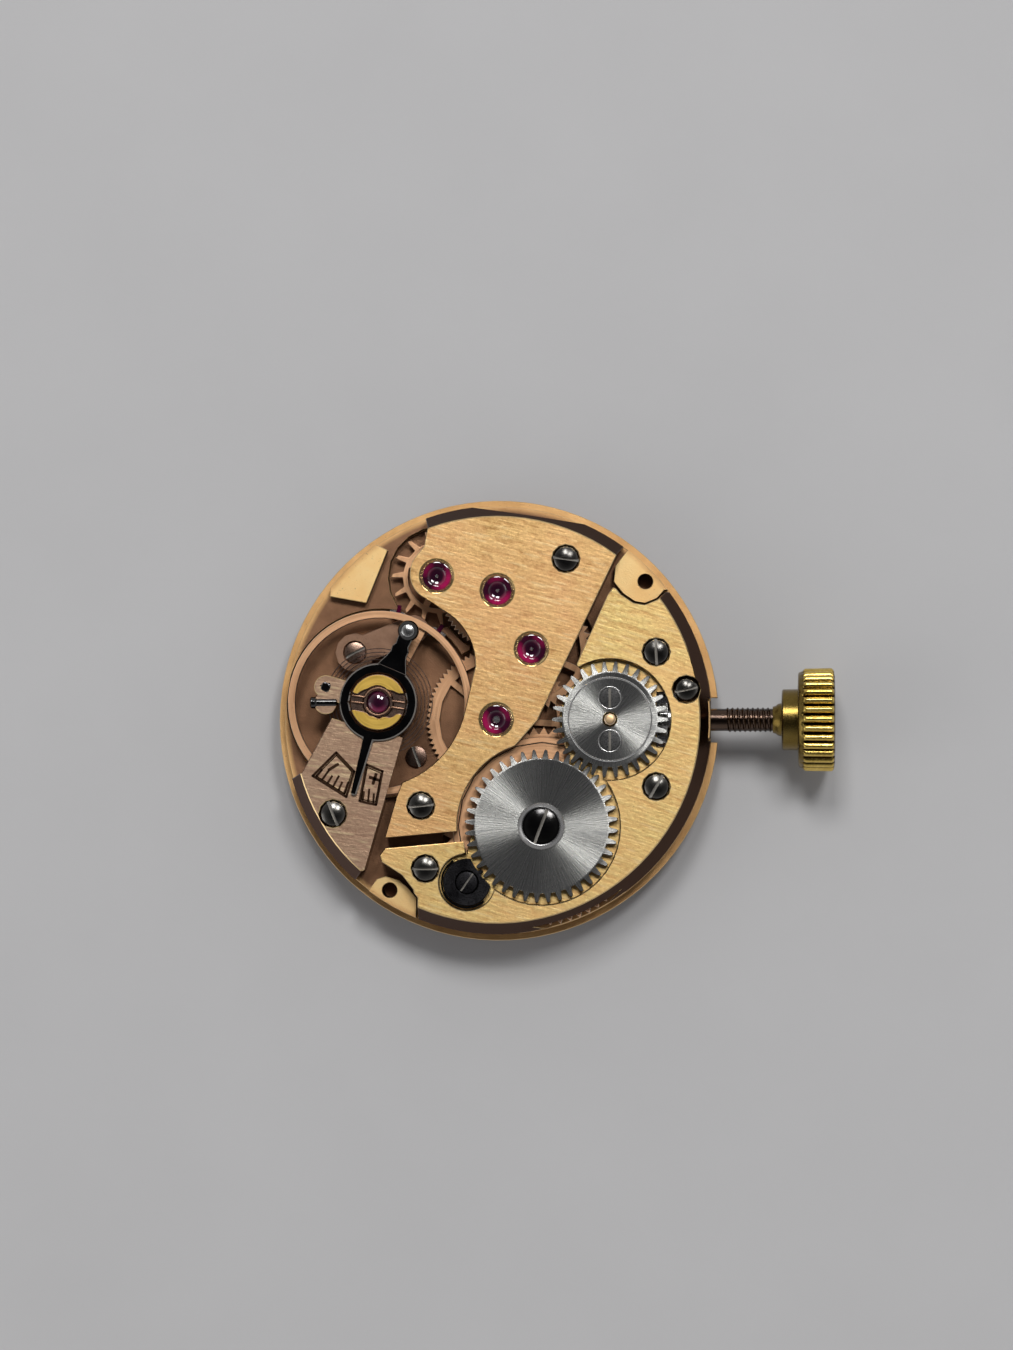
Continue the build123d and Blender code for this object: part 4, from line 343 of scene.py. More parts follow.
def satin_gilding(name):
    """The matte gilding of the plate: golden at its rim and high pads, and brown in its recesses by
    painted shade.
    """
    material, tree, shader = new_material(name)
    years = use(tree, age, {"Size": 0.5})
    side = use(tree, facing)
    from_middle = use(tree, round_brushing, {"Middle": (*CENTER, 0.0)})
    height = split(tree, millimeters(tree))[2]
    # Painted shade: the low tone darkens the plate's recesses, under and between the parts above
    # it.
    low = blend(tree, years["Cloud"], tone(0.20, 0.105, 0.06), tone(0.34, 0.18, 0.10))
    high = blend(tree, years["Cloud"], tone(0.95, 0.60, 0.25), tone(1.0, 0.72, 0.34))
    rim = blend(tree, years["Cloud"], tone(0.66, 0.37, 0.15), tone(0.90, 0.55, 0.24))
    recess_height, pad_height = 1.0, 1.28
    rim_starts, rim_full = 8.25, 8.45
    color = blend(tree, spread(tree, height, recess_height, pad_height), low, high)
    color = blend(tree, spread(tree, from_middle["Radius"], rim_starts, rim_full), color, rim)
    color = tinted(tree, color, years["Speck"], 0.4, (0.2, 0.11, 0.06))
    # Painted shade on walls, and a painted highlight on broken edges.
    color = faced(tree, side, color, (0.075, 0.035, 0.018), (1.0, 0.72, 0.38))
    roughness = graded(tree, years["Grain"], 0.42, 0.52)
    finish_shader(tree, shader, color, roughness, years["Grain"], 0.18)
    return material


def ringed_brass(name, middle, light=(1.0, 0.60, 0.34), dark=(0.82, 0.44, 0.23)):
    """Smooth rose brass with the faint rings of its turning."""
    material, tree, shader = new_material(name)
    brush = use(tree, round_brushing, {"Middle": (*middle, 0.0)})
    years = use(tree, age, {"Size": 0.8})
    side = use(tree, facing)
    half_clouds = calc(tree, "MULTIPLY", years["Cloud"], 0.5)
    mix = calc(tree, "MULTIPLY_ADD", brush["Ring"], 0.5, half_clouds)
    color = blend(tree, mix, tone(*dark), tone(*light))
    color = tinted(tree, color, years["Speck"], 0.3, (0.3, 0.15, 0.08))
    # Painted shade on walls, and a painted highlight on broken edges.
    color = faced(tree, side, color, (0.16, 0.075, 0.04), (1.0, 0.78, 0.58))
    roughness = graded(tree, brush["Ring"], 0.36, 0.48)
    finish_shader(tree, shader, color, roughness, brush["Ring"], 0.06)
    return material


def sunray_steel(name, middle):
    """Steel brushed in fine rays from its middle."""
    material, tree, shader = new_material(name)
    brush = use(tree, round_brushing, {"Middle": (*middle, 0.0)})
    years = use(tree, age, {"Size": 0.7})
    side = use(tree, facing)
    color = blend(tree, brush["Ray"], tone(0.28, 0.28, 0.28), tone(0.84, 0.83, 0.77))
    color = tinted(tree, color, years["Speck"], 0.5, (0.08, 0.08, 0.08))
    # Painted shade on walls and tooth flanks, and a painted highlight on broken edges.
    color = faced(tree, side, color, (0.10, 0.09, 0.08), (0.8, 0.8, 0.78))
    roughness = graded(tree, brush["Ray"], 0.32, 0.23)
    height = calc(tree, "MULTIPLY", brush["Ray"], side["Top"])
    finish_shader(tree, shader, color, roughness, height, 0.10)
    lay_brushing(tree, shader, "Z", 0.9)
    return material


def plain_finish(name, light, dark, smooth, rough, bump, edge_highlight=None, **constants):
    """Soft clouds, fine grain, specks and a painted highlight on broken edges, which is brighter
    unless told.
    """
    material, tree, shader = new_material(name)
    years = use(tree, age, {"Size": 1.2})
    side = use(tree, facing)
    color = blend(tree, years["Cloud"], tone(*dark), tone(*light))
    brighter = [min(1.0, 1.5 * part) for part in light]
    # Painted highlight on broken edges.
    color = tinted(tree, color, side["Edge"], 0.7, edge_highlight or brighter)
    color = tinted(tree, color, years["Speck"], 0.3, (0.03, 0.03, 0.03))
    roughness = graded(tree, years["Grain"], smooth, rough)
    finish_shader(tree, shader, color, roughness, years["Grain"], bump, **constants)
    return material


def ruby_stone(name, middle, scale, lit_turn, lit_tone=(0.60, 0.014, 0.13)):
    """Dark ruby with a painted glow: a lit crescent painted inside it, and a fainter one on the
    other side.
    """
    material, tree, shader = new_material(name)
    here = use(tree, round_brushing, {"Middle": (*middle, 0.0)})
    years = use(tree, age, {"Size": 3.0})
    radius = calc(tree, "DIVIDE", here["Radius"], scale)
    inner = spread(tree, radius, 0.22, 0.42)
    outer = spread(tree, radius, 0.52, 0.59, 1.0, 0.1)
    # Painted light: the lit crescent and its fainter twin are painted by angle about the middle.
    from_lit = calc(tree, "SUBTRACT", here["Angle"], math.radians(lit_turn))
    lit_side = calc(tree, "COSINE", from_lit)
    near = spread(tree, lit_side, 0.1, 0.9, 0.04, 1.0)
    far = spread(tree, lit_side, -0.7, -0.98, 0.0, 0.35)
    uneven = graded(tree, here["Ray"], 0.55, 1.0)
    lit = calc(tree, "MULTIPLY", calc(tree, "ADD", near, far), uneven)
    band = calc(tree, "MULTIPLY", calc(tree, "MULTIPLY", inner, outer), lit)
    color = blend(tree, band, tone(0.022, 0.0008, 0.011), tone(*lit_tone))
    color = tinted(tree, color, years["Cloud"], 0.2, (0.06, 0.0, 0.025))
    roughness = graded(tree, years["Grain"], 0.03, 0.08)
    finish_shader(
        tree, shader, color, roughness, years["Cloud"], 0.02,
        metallic=0.0, IOR=RUBY_IOR, Coat_Weight=0.6, Coat_Roughness=0.03,
    )
    return material


def crown_gold_with_painted_shade(name):
    """Gold of the crown: darker on its hub, and nearly black at the bottom of its flutes by painted
    shade.
    """
    material, tree, shader = new_material(name)
    years = use(tree, age, {"Size": 1.4})
    parts = split(tree, millimeters(tree))
    up = calc(tree, "SUBTRACT", parts[2], STEM_HEIGHT)
    square = calc(tree, "MULTIPLY_ADD", parts[1], parts[1], calc(tree, "MULTIPLY", up, up))
    radius = calc(tree, "SQRT", square)
    fluted = spread(tree, parts[0], 12.04, 12.14)
    ridge = calc(tree, "MULTIPLY", spread(tree, radius, 1.90, 1.99), fluted)
    hub = calc(tree, "MULTIPLY", calc(tree, "SUBTRACT", 1.0, fluted), 0.22)
    not_darkened = calc(tree, "MAXIMUM", ridge, hub)
    color = blend(tree, years["Cloud"], tone(0.66, 0.46, 0.11), tone(0.88, 0.64, 0.18))
    # Painted shade turns the flutes' bottoms nearly black; the hub is darkened with the same tone.
    color = blend(tree, not_darkened, tone(0.06, 0.035, 0.010), color)
    color = tinted(tree, color, years["Speck"], 0.4, (0.05, 0.03, 0.01))
    roughness = graded(tree, years["Grain"], 0.17, 0.30)
    finish_shader(tree, shader, color, roughness, years["Grain"], 0.08)
    return material


# Painted shade for the walls and outer bevels of the gilded bridges.
bridge_wall_shade = (0.055, 0.022, 0.009)
gilt_bridge = brushed_gilding(
    "bridge_gilding", light=(1.0, 0.68, 0.29), dark=(0.36, 0.185, 0.06),
    blush=(0.82, 0.44, 0.22), wall_shade=bridge_wall_shade, turn=14,
)
gilt_barrel = brushed_gilding(
    "barrel_bridge_gilding", light=(1.0, 0.78, 0.32), dark=(0.42, 0.22, 0.07),
    blush=(0.92, 0.56, 0.25), wall_shade=bridge_wall_shade, turn=17,
)
gilt_cock = brushed_gilding(
    "cock_gilding", light=(0.60, 0.41, 0.27), dark=(0.22, 0.13, 0.085),
    blush=(0.42, 0.26, 0.18), wall_shade=(0.085, 0.036, 0.018), turn=8,
)
gilt_plate = satin_gilding("plate_gilding")
crown_gold = crown_gold_with_painted_shade("crown_gold")

# Each row gives the light tone, the dark tone, the smoothest and the roughest place and the bump.
PLAIN_FINISHES = {
    "lower_gilding": ((0.44, 0.26, 0.17), (0.30, 0.17, 0.11), 0.34, 0.46, 0.10),
    "polished_gilding": ((0.95, 0.62, 0.26), (0.78, 0.46, 0.18), 0.08, 0.16, 0.03),
    "yellow_gold": ((0.90, 0.62, 0.13), (0.74, 0.47, 0.08), 0.28, 0.38, 0.08),
    "bright_steel": ((0.68, 0.67, 0.65), (0.50, 0.49, 0.48), 0.16, 0.28, 0.06),
    "grey_steel": ((0.30, 0.295, 0.29), (0.17, 0.168, 0.165), 0.22, 0.34, 0.06),
    "black_steel": ((0.070, 0.068, 0.066), (0.035, 0.034, 0.034), 0.09, 0.17, 0.03),
    "screw_steel": ((0.15, 0.143, 0.13), (0.068, 0.064, 0.06), 0.15, 0.26, 0.04),
    "brown_steel": ((0.30, 0.20, 0.15), (0.16, 0.10, 0.08), 0.24, 0.36, 0.06),
    "click_steel": ((0.060, 0.058, 0.062), (0.022, 0.021, 0.023), 0.22, 0.40, 0.08),
    "slot_steel": ((0.50, 0.47, 0.42), (0.28, 0.26, 0.23), 0.30, 0.42, 0.10),
    "stem_steel": ((0.085, 0.056, 0.040), (0.034, 0.024, 0.020), 0.14, 0.24, 0.10),
    "spring_steel": ((0.24, 0.17, 0.14), (0.13, 0.09, 0.08), 0.24, 0.36, 0.10),
    "engraving": ((0.10, 0.052, 0.03), (0.045, 0.024, 0.015), 0.30, 0.45, 0.10),
    # sink_shadow is painted shade and a painted reflection of the ruby, for the slopes of the jewel
    # sinks.
    "sink_shadow": ((0.085, 0.018, 0.026), (0.040, 0.006, 0.014), 0.12, 0.22, 0.03),
}
finish = {name: plain_finish(name, *row) for name, row in PLAIN_FINISHES.items()}
# Its broken edges get a grey painted highlight.
regulator_steel = plain_finish(
    "regulator_steel", (0.06, 0.058, 0.058), (0.03, 0.029, 0.03), 0.10, 0.20, 0.03,
    edge_highlight=(0.42, 0.39, 0.35),
)
plate_ruby = plain_finish(
    "plate_ruby", (0.11, 0.003, 0.035), (0.05, 0.001, 0.02), 0.04, 0.09, 0.02,
    metallic=0.0, IOR=RUBY_IOR,
)


# Mesh helpers


def make_crisp_edges():
    """A geometry modifier: level faces shade flat, and the others as one across small angles."""
    tree = bpy.data.node_groups.new("crisp_edges", "GeometryNodeTree")
    for side in ("INPUT", "OUTPUT"):
        tree.interface.new_socket(name="Geometry", in_out=side, socket_type="NodeSocketGeometry")
    crisp_angle, level_from = math.radians(24), 0.999
    given = put(tree, "NodeGroupInput").outputs[0]
    angle = put(tree, "GeometryNodeInputMeshEdgeAngle").outputs[0]
    sharp = put(tree, "FunctionNodeCompare", {0: angle, 1: crisp_angle}, operation="GREATER_THAN")
    up = calc(tree, "ABSOLUTE", split(tree, put(tree, "GeometryNodeInputNormal").outputs[0])[2])
    level = put(tree, "FunctionNodeCompare", {0: up, 1: level_from}, operation="GREATER_THAN")
    shaded = put(tree, "GeometryNodeSetMeshNormal", {
        "Mesh": given, "Remove Custom": True,
        "Edge Sharpness": sharp.outputs[0], "Face Sharpness": level.outputs[0],
    })
    put(tree, "NodeGroupOutput", {0: shaded.outputs[0]})
    return tree


crisp_edges = make_crisp_edges()


def placed(name, data):
    """A new object in the scene."""
    made = bpy.data.objects.new(name, data)
    bpy.context.scene.collection.objects.link(made)
    return made


def formed(name, mesh, materials):
    """A new object in the scene, made of a mesh that is used up."""
    data = bpy.data.meshes.new(name)
    mesh.to_mesh(data)
    mesh.free()
    for material in materials:
        data.materials.append(material)
    return placed(name, data)


def piece(name, mesh, body, materials, sharp=32.0, replaces=()):
    """Makes an object of a mesh in millimeters that rides on a body."""
    bmesh.ops.remove_doubles(mesh, verts=mesh.verts, dist=NEAR)
    bmesh.ops.recalc_face_normals(mesh, faces=mesh.faces)
    limit = math.radians(sharp)
    for face in mesh.faces:
        face.smooth = True
    for edge in mesh.edges:
        edge.smooth = edge.is_manifold and edge.calc_face_angle(0.0) < limit
    bmesh.ops.scale(mesh, vec=(MM, MM, MM), verts=mesh.verts)
    made = formed(name, mesh, materials)
    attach(made, body)
    if replaces:
        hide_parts(*replaces)
    return made


def break_edges(made, width, segments, name="rounding", angle=35):
    """Bevels the edges of an object that are sharper than an angle, and shades it crisply."""
    bevel = made.modifiers.new(name, "BEVEL")
    bevel.width = width * MM
    bevel.segments = segments
    bevel.limit_method = "ANGLE"
    bevel.angle_limit = math.radians(angle)
    bevel.use_clamp_overlap = False
    made.modifiers.new("crisp_edges", "NODES").node_group = crisp_edges


def at(middle, radius, angle):
    """The point at a radius and an angle in radians about a middle."""
    return (middle[0] + radius * math.cos(angle), middle[1] + radius * math.sin(angle))


def around(middle, radius, degrees):
    """The same point for an angle in degrees."""
    return at(middle, radius, math.radians(degrees))


def turned(mesh, middle, profile, steps, bands=None):
    """Turns a profile of (radius, height) points about an upright axis."""
    rings = []
    for radius, height in profile:
        if radius < NEAR:
            rings.append([mesh.verts.new((*middle, height))])
            continue
        rings.append([
            mesh.verts.new((*at(middle, radius, math.tau * step / steps), height))
            for step in range(steps)
        ])
    for number, (first, second) in enumerate(zip(rings, rings[1:])):
        for step in range(steps):
            after = (step + 1) % steps
            corners = [first[step % len(first)], first[after % len(first)],
                       second[after % len(second)], second[step % len(second)]]
            corners = list(dict.fromkeys(corners))
            if len(corners) > 2:
                face = mesh.faces.new(corners)
                face.material_index = bands[number] if bands else 0


def bridged(mesh, first, second):
    """Faces between two closed rows of points."""
    faces = []
    for number in range(len(first)):
        after = (number + 1) % len(first)
        faces.append(mesh.faces.new((first[number], first[after], second[after], second[number])))
    return faces


def tube(mesh, rows):
    """A closed tube through closed rows of points."""
    for first, second in zip(rows, rows[1:]):
        bridged(mesh, first, second)
    mesh.faces.new(rows[0][::-1])
    mesh.faces.new(rows[-1])


def slab(mesh, outline, low, high, index=0):
    """An upright slab over a flat outline of (x, y) points."""
    bottom = [mesh.verts.new((x, y, low)) for x, y in outline]
    top = [mesh.verts.new((x, y, high)) for x, y in outline]
    for face in (mesh.faces.new(top), mesh.faces.new(bottom[::-1]), *bridged(mesh, bottom, top)):
        face.material_index = index


def offset(middle, turn, along, aside):
    """The point that lies along and aside of a middle, in a turned direction."""
    cosine, sine = math.cos(math.radians(turn)), math.sin(math.radians(turn))
    return (middle[0] + cosine * along - sine * aside, middle[1] + sine * along + cosine * aside)


def bar(middle, length, width, turn):
    """The outline of a straight bar."""
    ends, sides = length / 2, width / 2
    corners = [(-ends, -sides), (ends, -sides), (ends, sides), (-ends, sides)]
    return [offset(middle, turn, along, aside) for along, aside in corners]


def arc(middle, radius, start, stop, steps):
    """Points along an arc."""
    return [
        around(middle, radius, start + (stop - start) * step / steps) for step in range(steps + 1)
    ]


def dome(radius, edge, apex, steps):
    """Points of a low dome from its edge to its top."""
    turns = [math.pi / 2 * step / steps for step in range(steps + 1)]
    return [(radius * math.cos(turn), edge + (apex - edge) * math.sin(turn)) for turn in turns]


def cap(radius, edge, apex):
    """Points of a cap cut from a ball, from its edge to its top."""
    steps = 8
    rise = apex - edge
    ball = (radius * radius + rise * rise) / (2 * rise)
    reach = math.asin(min(1.0, radius / ball))
    turns = [reach * (1 - step / steps) for step in range(steps + 1)]
    return [(ball * math.sin(turn), apex - ball + ball * math.cos(turn)) for turn in turns]


def threaded_shank(end, start, radius):
    """Profile points of a screw's thread from its end to its head."""
    pitch, depth, point = 0.12, 0.025, 0.06
    count = max(2, int((start - end) / pitch))
    step = (start - end) / count
    points = [(0.0, end), (radius - point, end)]
    for number in range(count):
        points.append((radius - depth, end + step * (number + 0.15)))
        points.append((radius, end + step * (number + 0.6)))
    points.append((radius, start))
    return points


# The material numbers of a screw: its head, its slot and the ring round its head
HEAD, SLOT, RING = 0, 1, 2


def carved(mesh, cutter):
    """Cuts one mesh out of another; faces made by the cutter keep its material number."""
    steels = [finish["screw_steel"], finish["slot_steel"], finish["grey_steel"]]
    objects = []
    for label, solid in (("carved", mesh), ("cutter", cutter)):
        bmesh.ops.recalc_face_normals(solid, faces=solid.faces)
        objects.append(formed(label, solid, steels))
    cut = objects[0].modifiers.new("cut", "BOOLEAN")
    cut.object = objects[1]
    cut.operation = "DIFFERENCE"
    cut.solver = "EXACT"
    result = bmesh.new()
    result.from_object(objects[0], bpy.context.evaluated_depsgraph_get())
    for made in objects:
        data = made.data
        bpy.data.objects.remove(made)
        bpy.data.meshes.remove(data)
    return result


# Screws

SLOT_OVERRUN = 0.2


def screws(name, node, places, radius=0.51, height=0.30, end=0.225, rise=0.12, shank=0.24,
           slot_width=0.11, slot_depth=0.12, steel="screw_steel"):
    """Domed, slotted screws; each place is x, y, top and the slot's turn."""
    chamfer, lip, inset, slot_reach = 0.03, 0.02, 0.015, 2.4
    heads, slots = bmesh.new(), bmesh.new()
    for x, y, top, turn in places:
        edge = top - rise + lip
        profile = threaded_shank(end, top - height, shank)
        profile += [(radius - chamfer, top - height), (radius, top - height + chamfer),
                    (radius, edge - lip)]
        profile += cap(radius - inset, edge, top + lip)
        turned(heads, (x, y), profile, 48)
        slot = bar((x, y), slot_reach * radius, slot_width, turn)
        slab(slots, slot, top - slot_depth, top + SLOT_OVERRUN, SLOT)
    materials = [finish[steel], finish["slot_steel"]]
    piece(name, carved(heads, slots), "plate", materials, sharp=28,
          replaces=(node,))


screws("bridge_screws_barrel", "barrel_bridge_screws", [
    (6.3088, 2.66, SCREW_TOP, 93), (6.3088, -2.6425, SCREW_TOP, 60), (-2.8088, -5.88, SCREW_TOP, 0),
])
screws("bridge_screws_train", "train_bridge_screws", [
    (2.7475, 6.3438, SCREW_TOP, -8), (-2.9838, -3.395, SCREW_TOP, 6),
])
screws("cock_screw", "balance_cock_screw", [(-6.4663, -3.71, SCREW_TOP, -68)])
screws(
    "lower_screws", "small_screws", [(-5.6875, 2.6863, 1.12, 28), (-3.2813, -1.4438, 0.61, -70)],
    radius=0.42, height=0.16, rise=0.05, steel="brown_steel",
)
screws(
    "click_middle_screw", "click_screw", [(*CLICK, 2.235, 55)], radius=0.42, end=1.65, rise=0.03,
    shank=0.2, slot_width=0.07, slot_depth=0.05, steel="click_steel",
)
screws("lever_edge_screw", "setting_lever_screw", [(7.49, 1.18, 2.20, 12)], radius=0.46, end=0.08)

CORE_SCREW_OFFSETS = (0.85, -0.85)
screws(
    "core_plate_screws", "crown_wheel_screws",
    [(CROWN_WHEEL[0], aside, 2.345, 90) for aside in CORE_SCREW_OFFSETS], radius=0.40, height=0.25,
    end=1.83, rise=0.008, shank=0.2, slot_width=0.10, slot_depth=0.07, steel="grey_steel",
)


def ratchet_middle_screw():
    """The big screw of the ratchet wheel: a grey beveled ring round a black slotted dome."""
    low, high = WHEEL_TOP, 2.455
    groove = high - 0.05
    head, slots = bmesh.new(), bmesh.new()
    profile = threaded_shank(0.96, low, 0.34)
    profile += [
        (0.90, low), (0.93, low + 0.03), (0.93, high - 0.13), (0.91, high - 0.10),
        (0.79, high - 0.01), (0.765, high), (0.735, high - 0.01), (0.72, groove),
    ]
    ring_bands = len(profile) - 1
    profile += cap(0.715, groove, high + 0.06)
    bands = [RING] * ring_bands + [HEAD] * (len(profile) - 1 - ring_bands)
    turned(head, RATCHET, profile, 64, bands)
    slot, slot_depth, overrun = bar(RATCHET, length=1.42, width=0.12, turn=69), 0.09, 0.3
    slab(slots, slot, high - slot_depth, high + overrun, SLOT)
    materials = [finish["black_steel"], finish["slot_steel"], finish["grey_steel"]]
    piece("ratchet_middle_screw", carved(head, slots), "ratchet", materials,
          sharp=28, replaces=("ratchet_screw",))


ratchet_middle_screw()


# Jewels

BIG_JEWEL = 0.58

# Each row gives the middle, the body of the pivot, the jewel's radius, bottom and top, the
# radius of its hole, the radius of the pivot in it and the turn of its painted lit crescent.
BRIDGE_JEWELS = {
    "third": (THIRD, "third", BIG_JEWEL, 1.91, 2.13, 0.08, 0.065, 225),
    "fourth": (FOURTH, "fourth", BIG_JEWEL, 1.91, 2.13, 0.08, 0.065, 280),
    "escape": (ESCAPE, "escape", BIG_JEWEL, 1.91, 2.13, 0.08, 0.065, 325),
    "center": (CENTER, "center", BIG_JEWEL, 1.91, 2.13, 0.08, 0.065, 215),
    "pallet": (PALLET, "pallets", 0.21, 0.95, 1.12, 0.05, 0.04, 250),
}


def jewel(middle, radius, bottom, top, hole):
    """A ruby bearing: a polished ring round an oil dish with the pivot's hole in it."""
    dish, dish_edge, dish_depth, dish_steps = radius * 0.66, top - 0.012, 0.10, 7
    profile = [
        (hole, bottom), (radius - 0.02, bottom), (radius, bottom + 0.02), (radius, top - 0.035),
        (radius - 0.012, top - 0.012), (radius - 0.04, top), (dish + 0.05, top), (dish, dish_edge),
    ]
    for step in range(1, dish_steps + 1):
        angle = math.pi / 2 * step / dish_steps
        across = hole + (dish - hole) * math.cos(angle)
        profile.append((across, dish_edge - dish_depth * math.sin(angle)))
    profile.append((hole, bottom))
    stone = bmesh.new()
    turned(stone, middle, profile, 56)
    return stone


def pivot(middle, top, radius):
    """The rounded end of an arbor in its jewel."""
    end = bmesh.new()
    foot = top - 0.1
    profile = [(0.0, foot), (radius, foot)] + dome(radius, top - 0.03, top, 4)
    turned(end, middle, profile, 20)
    return end


def bridge_jewels():
    """The jewels of the bridges, each with the end of its arbor."""
    for label, row in BRIDGE_JEWELS.items():
        middle, body, radius, bottom, top, hole, pivot_radius, lit_turn = row
        ruby = ruby_stone(f"{label}_ruby", middle, radius / BIG_JEWEL, lit_turn)
        piece(f"{label}_bridge_jewel", jewel(middle, radius, bottom, top, hole), "plate",
              [ruby], replaces=("bridge_jewels",))
        piece(f"{label}_pivot_end", pivot(middle, top - 0.06, pivot_radius), body,
              [finish["bright_steel"]])


def jewel_sinks():
    """The polished sinks of the bridge jewels, their inner slopes dark with painted shade and a
    painted reflection of the ruby.
    """
    rings = bmesh.new()
    profile = [
        (0.585, 2.05), (0.585, 2.115), (0.60, 2.125), (0.655, 2.20), (0.672, 2.248),
        (0.680, 2.254), (0.700, 2.254), (0.705, 2.249), (0.705, 2.20), (0.585, 2.05),
    ]
    bright, shadow = 0, 1
    for middle in (THIRD, FOURTH, ESCAPE, CENTER):
        turned(rings, middle, profile, 56, [shadow] * 4 + [bright] * 5)
    piece("jewel_sinks", rings, "plate",
          [finish["polished_gilding"], finish["sink_shadow"]], sharp=40)


bridge_jewels()
jewel_sinks()


# Shock setting


def shock_base():
    """The round base under the setting."""
    base = bmesh.new()
    turned(base, BALANCE, [
        (0.25, 1.90), (1.09, 1.90), (1.10, 1.92), (1.10, 2.30), (1.08, 2.32), (0.64, 2.32),
        (0.62, 2.30), (0.60, 2.12), (0.25, 2.10), (0.25, 1.90),
    ], 64)
    piece("shock_base", base, "plate", [finish["brown_steel"]], sharp=30,
          replaces=("upper_shock_block",))


def shock_crescents():
    """The two yellow crescents beside the jewel, each an outer arc and a waved inner side."""
    upper_inside = [
        (160, 0.98), (158, 0.86), (150, 0.80), (140, 0.73), (128, 0.66), (112, 0.65), (96, 0.66),
        (80, 0.65), (66, 0.63), (54, 0.60), (44, 0.66), (36, 0.74), (28, 0.80), (21, 0.90),
    ]
    lower_inside = [
        (333, 0.98), (328, 0.86), (318, 0.82), (308, 0.76), (298, 0.64), (286, 0.60), (274, 0.66),
        (262, 0.60), (250, 0.58), (238, 0.62), (226, 0.60), (214, 0.66), (206, 0.78), (199, 0.92),
    ]
    outer_radius, bottom, top = 1.10, 2.28, 2.44
    crescents = bmesh.new()
    for start, stop, inside in ((18, 158, upper_inside), (196, 332, lower_inside)):
        outline = arc(BALANCE, outer_radius, start, stop, 22)
        outline += [around(BALANCE, radius, degrees) for degrees, radius in inside]
        slab(crescents, outline, bottom, top)
    gold = ringed_brass("crescent_gold", BALANCE, light=(0.92, 0.62, 0.14),
                        dark=(0.76, 0.48, 0.09))
    made = piece("shock_crescents", crescents, "plate", [gold])
    break_edges(made, width=0.03, segments=2)


def shock_spring():
    """The wire spring: two bows over the crescents' inner sides and four straight ends."""
    spring = bmesh.new()
    half_wire = 0.035
    for start, stop, radius in ((22, 158, 0.56), (202, 338, 0.50)):
        outline = arc(BALANCE, radius + half_wire, start, stop, 18)
        outline += arc(BALANCE, radius - half_wire, stop, start, 18)
        slab(spring, outline, 2.36, 2.41)
    for turn, aside in ((172, 0.12), (172, -0.13), (-8, 0.13), (-8, -0.12)):
        middle = offset(BALANCE, turn, 0.80, aside)
        slab(spring, bar(middle, 0.52, 0.06, turn), 2.355, 2.405)
    made = piece("shock_spring_wire", spring, "plate", [finish["lower_gilding"]],
                 replaces=("upper_shock_spring",))
    break_edges(made, width=0.02, segments=2)


def shock_jewels():
    """The domed cap jewel over the balance's hole jewel, in their chaton."""
    stones = bmesh.new()
    domed = [(0.0, 2.17), (0.38, 2.17), (0.42, 2.20), (0.42, 2.26)] + cap(0.41, 2.27, 2.38)
    turned(stones, BALANCE, domed, 48)
    turned(stones, BALANCE, [
        (0.07, 2.02), (0.34, 2.02), (0.36, 2.04), (0.36, 2.14), (0.34, 2.16), (0.07, 2.16),
        (0.07, 2.02),
    ], 40)
    ruby = ruby_stone("balance_ruby", BALANCE, scale=0.72, lit_turn=262,
                      lit_tone=(0.26, 0.005, 0.075))
    piece("balance_cap_jewel", stones, "plate", [ruby], replaces=("upper_shock_jewels",))
    chaton = bmesh.new()
    turned(chaton, BALANCE, [
        (0.43, 2.10), (0.59, 2.10), (0.59, 2.30), (0.57, 2.33), (0.50, 2.33), (0.44, 2.27),
        (0.43, 2.24), (0.43, 2.10),
    ], 48)
    piece("shock_chaton", chaton, "plate", [finish["brown_steel"]])


shock_base()
shock_crescents()
shock_spring()
shock_jewels()


# Regulator, hairspring stud and scale


def regulator_boot():
    """The domed boot at the end of the regulator's arm, with a painted highlight: its top bands are
    bright steel.
    """
    boot = bmesh.new()
    profile = [(0.0, 2.26), (0.38, 2.26), (0.42, 2.29), (0.42, 2.34)] + dome(0.42, 2.35, 2.62, 10)
    # Painted highlight: the top bands of the dome are bright steel.
    dark, bright, highlight_bands = 0, 1, 4
    bands = [dark] * (len(profile) - 1 - highlight_bands) + [bright] * highlight_bands
    turned(boot, REGULATOR_END, profile, 48, bands)
    piece("regulator_boot", boot, "regulator",
          [finish["black_steel"], finish["bright_steel"]], sharp=50)


def regulator_arm():
    """The arm that widens from the boot back to the regulator's ring."""
    arm = bmesh.new()
    turn = 67
    # How far back from the boot, and half the width there
    half_widths = [
        (0.20, 0.30), (0.62, 0.27), (0.78, 0.36), (0.98, 0.34), (1.22, 0.42), (1.50, 0.55),
        (1.66, 0.62),
    ]
    outline = [offset(REGULATOR_END, turn, -back, half) for back, half in half_widths]
    outline += [offset(REGULATOR_END, turn, -back, -half) for back, half in half_widths[::-1]]
    slab(arm, outline, 2.275, 2.43)
    made = piece("regulator_arm", arm, "regulator", [regulator_steel])
    break_edges(made, width=0.06, segments=3)


def hairspring_stud():
    """The rounded square stud that holds the end of the hairspring."""
    stud = bmesh.new()
    outline = []
    for turn in (0, 90, 180, 270):
        corner = around(STUD, 0.10, 20 + turn)
        outline += arc(corner, 0.11, turn - 25, turn + 65, 3)
    slab(stud, outline, 1.82, 2.31)
    made = piece("stud_post", stud, "plate", [regulator_steel],
                 replaces=("hairspring_stud",))
    break_edges(made, width=0.05, segments=3)


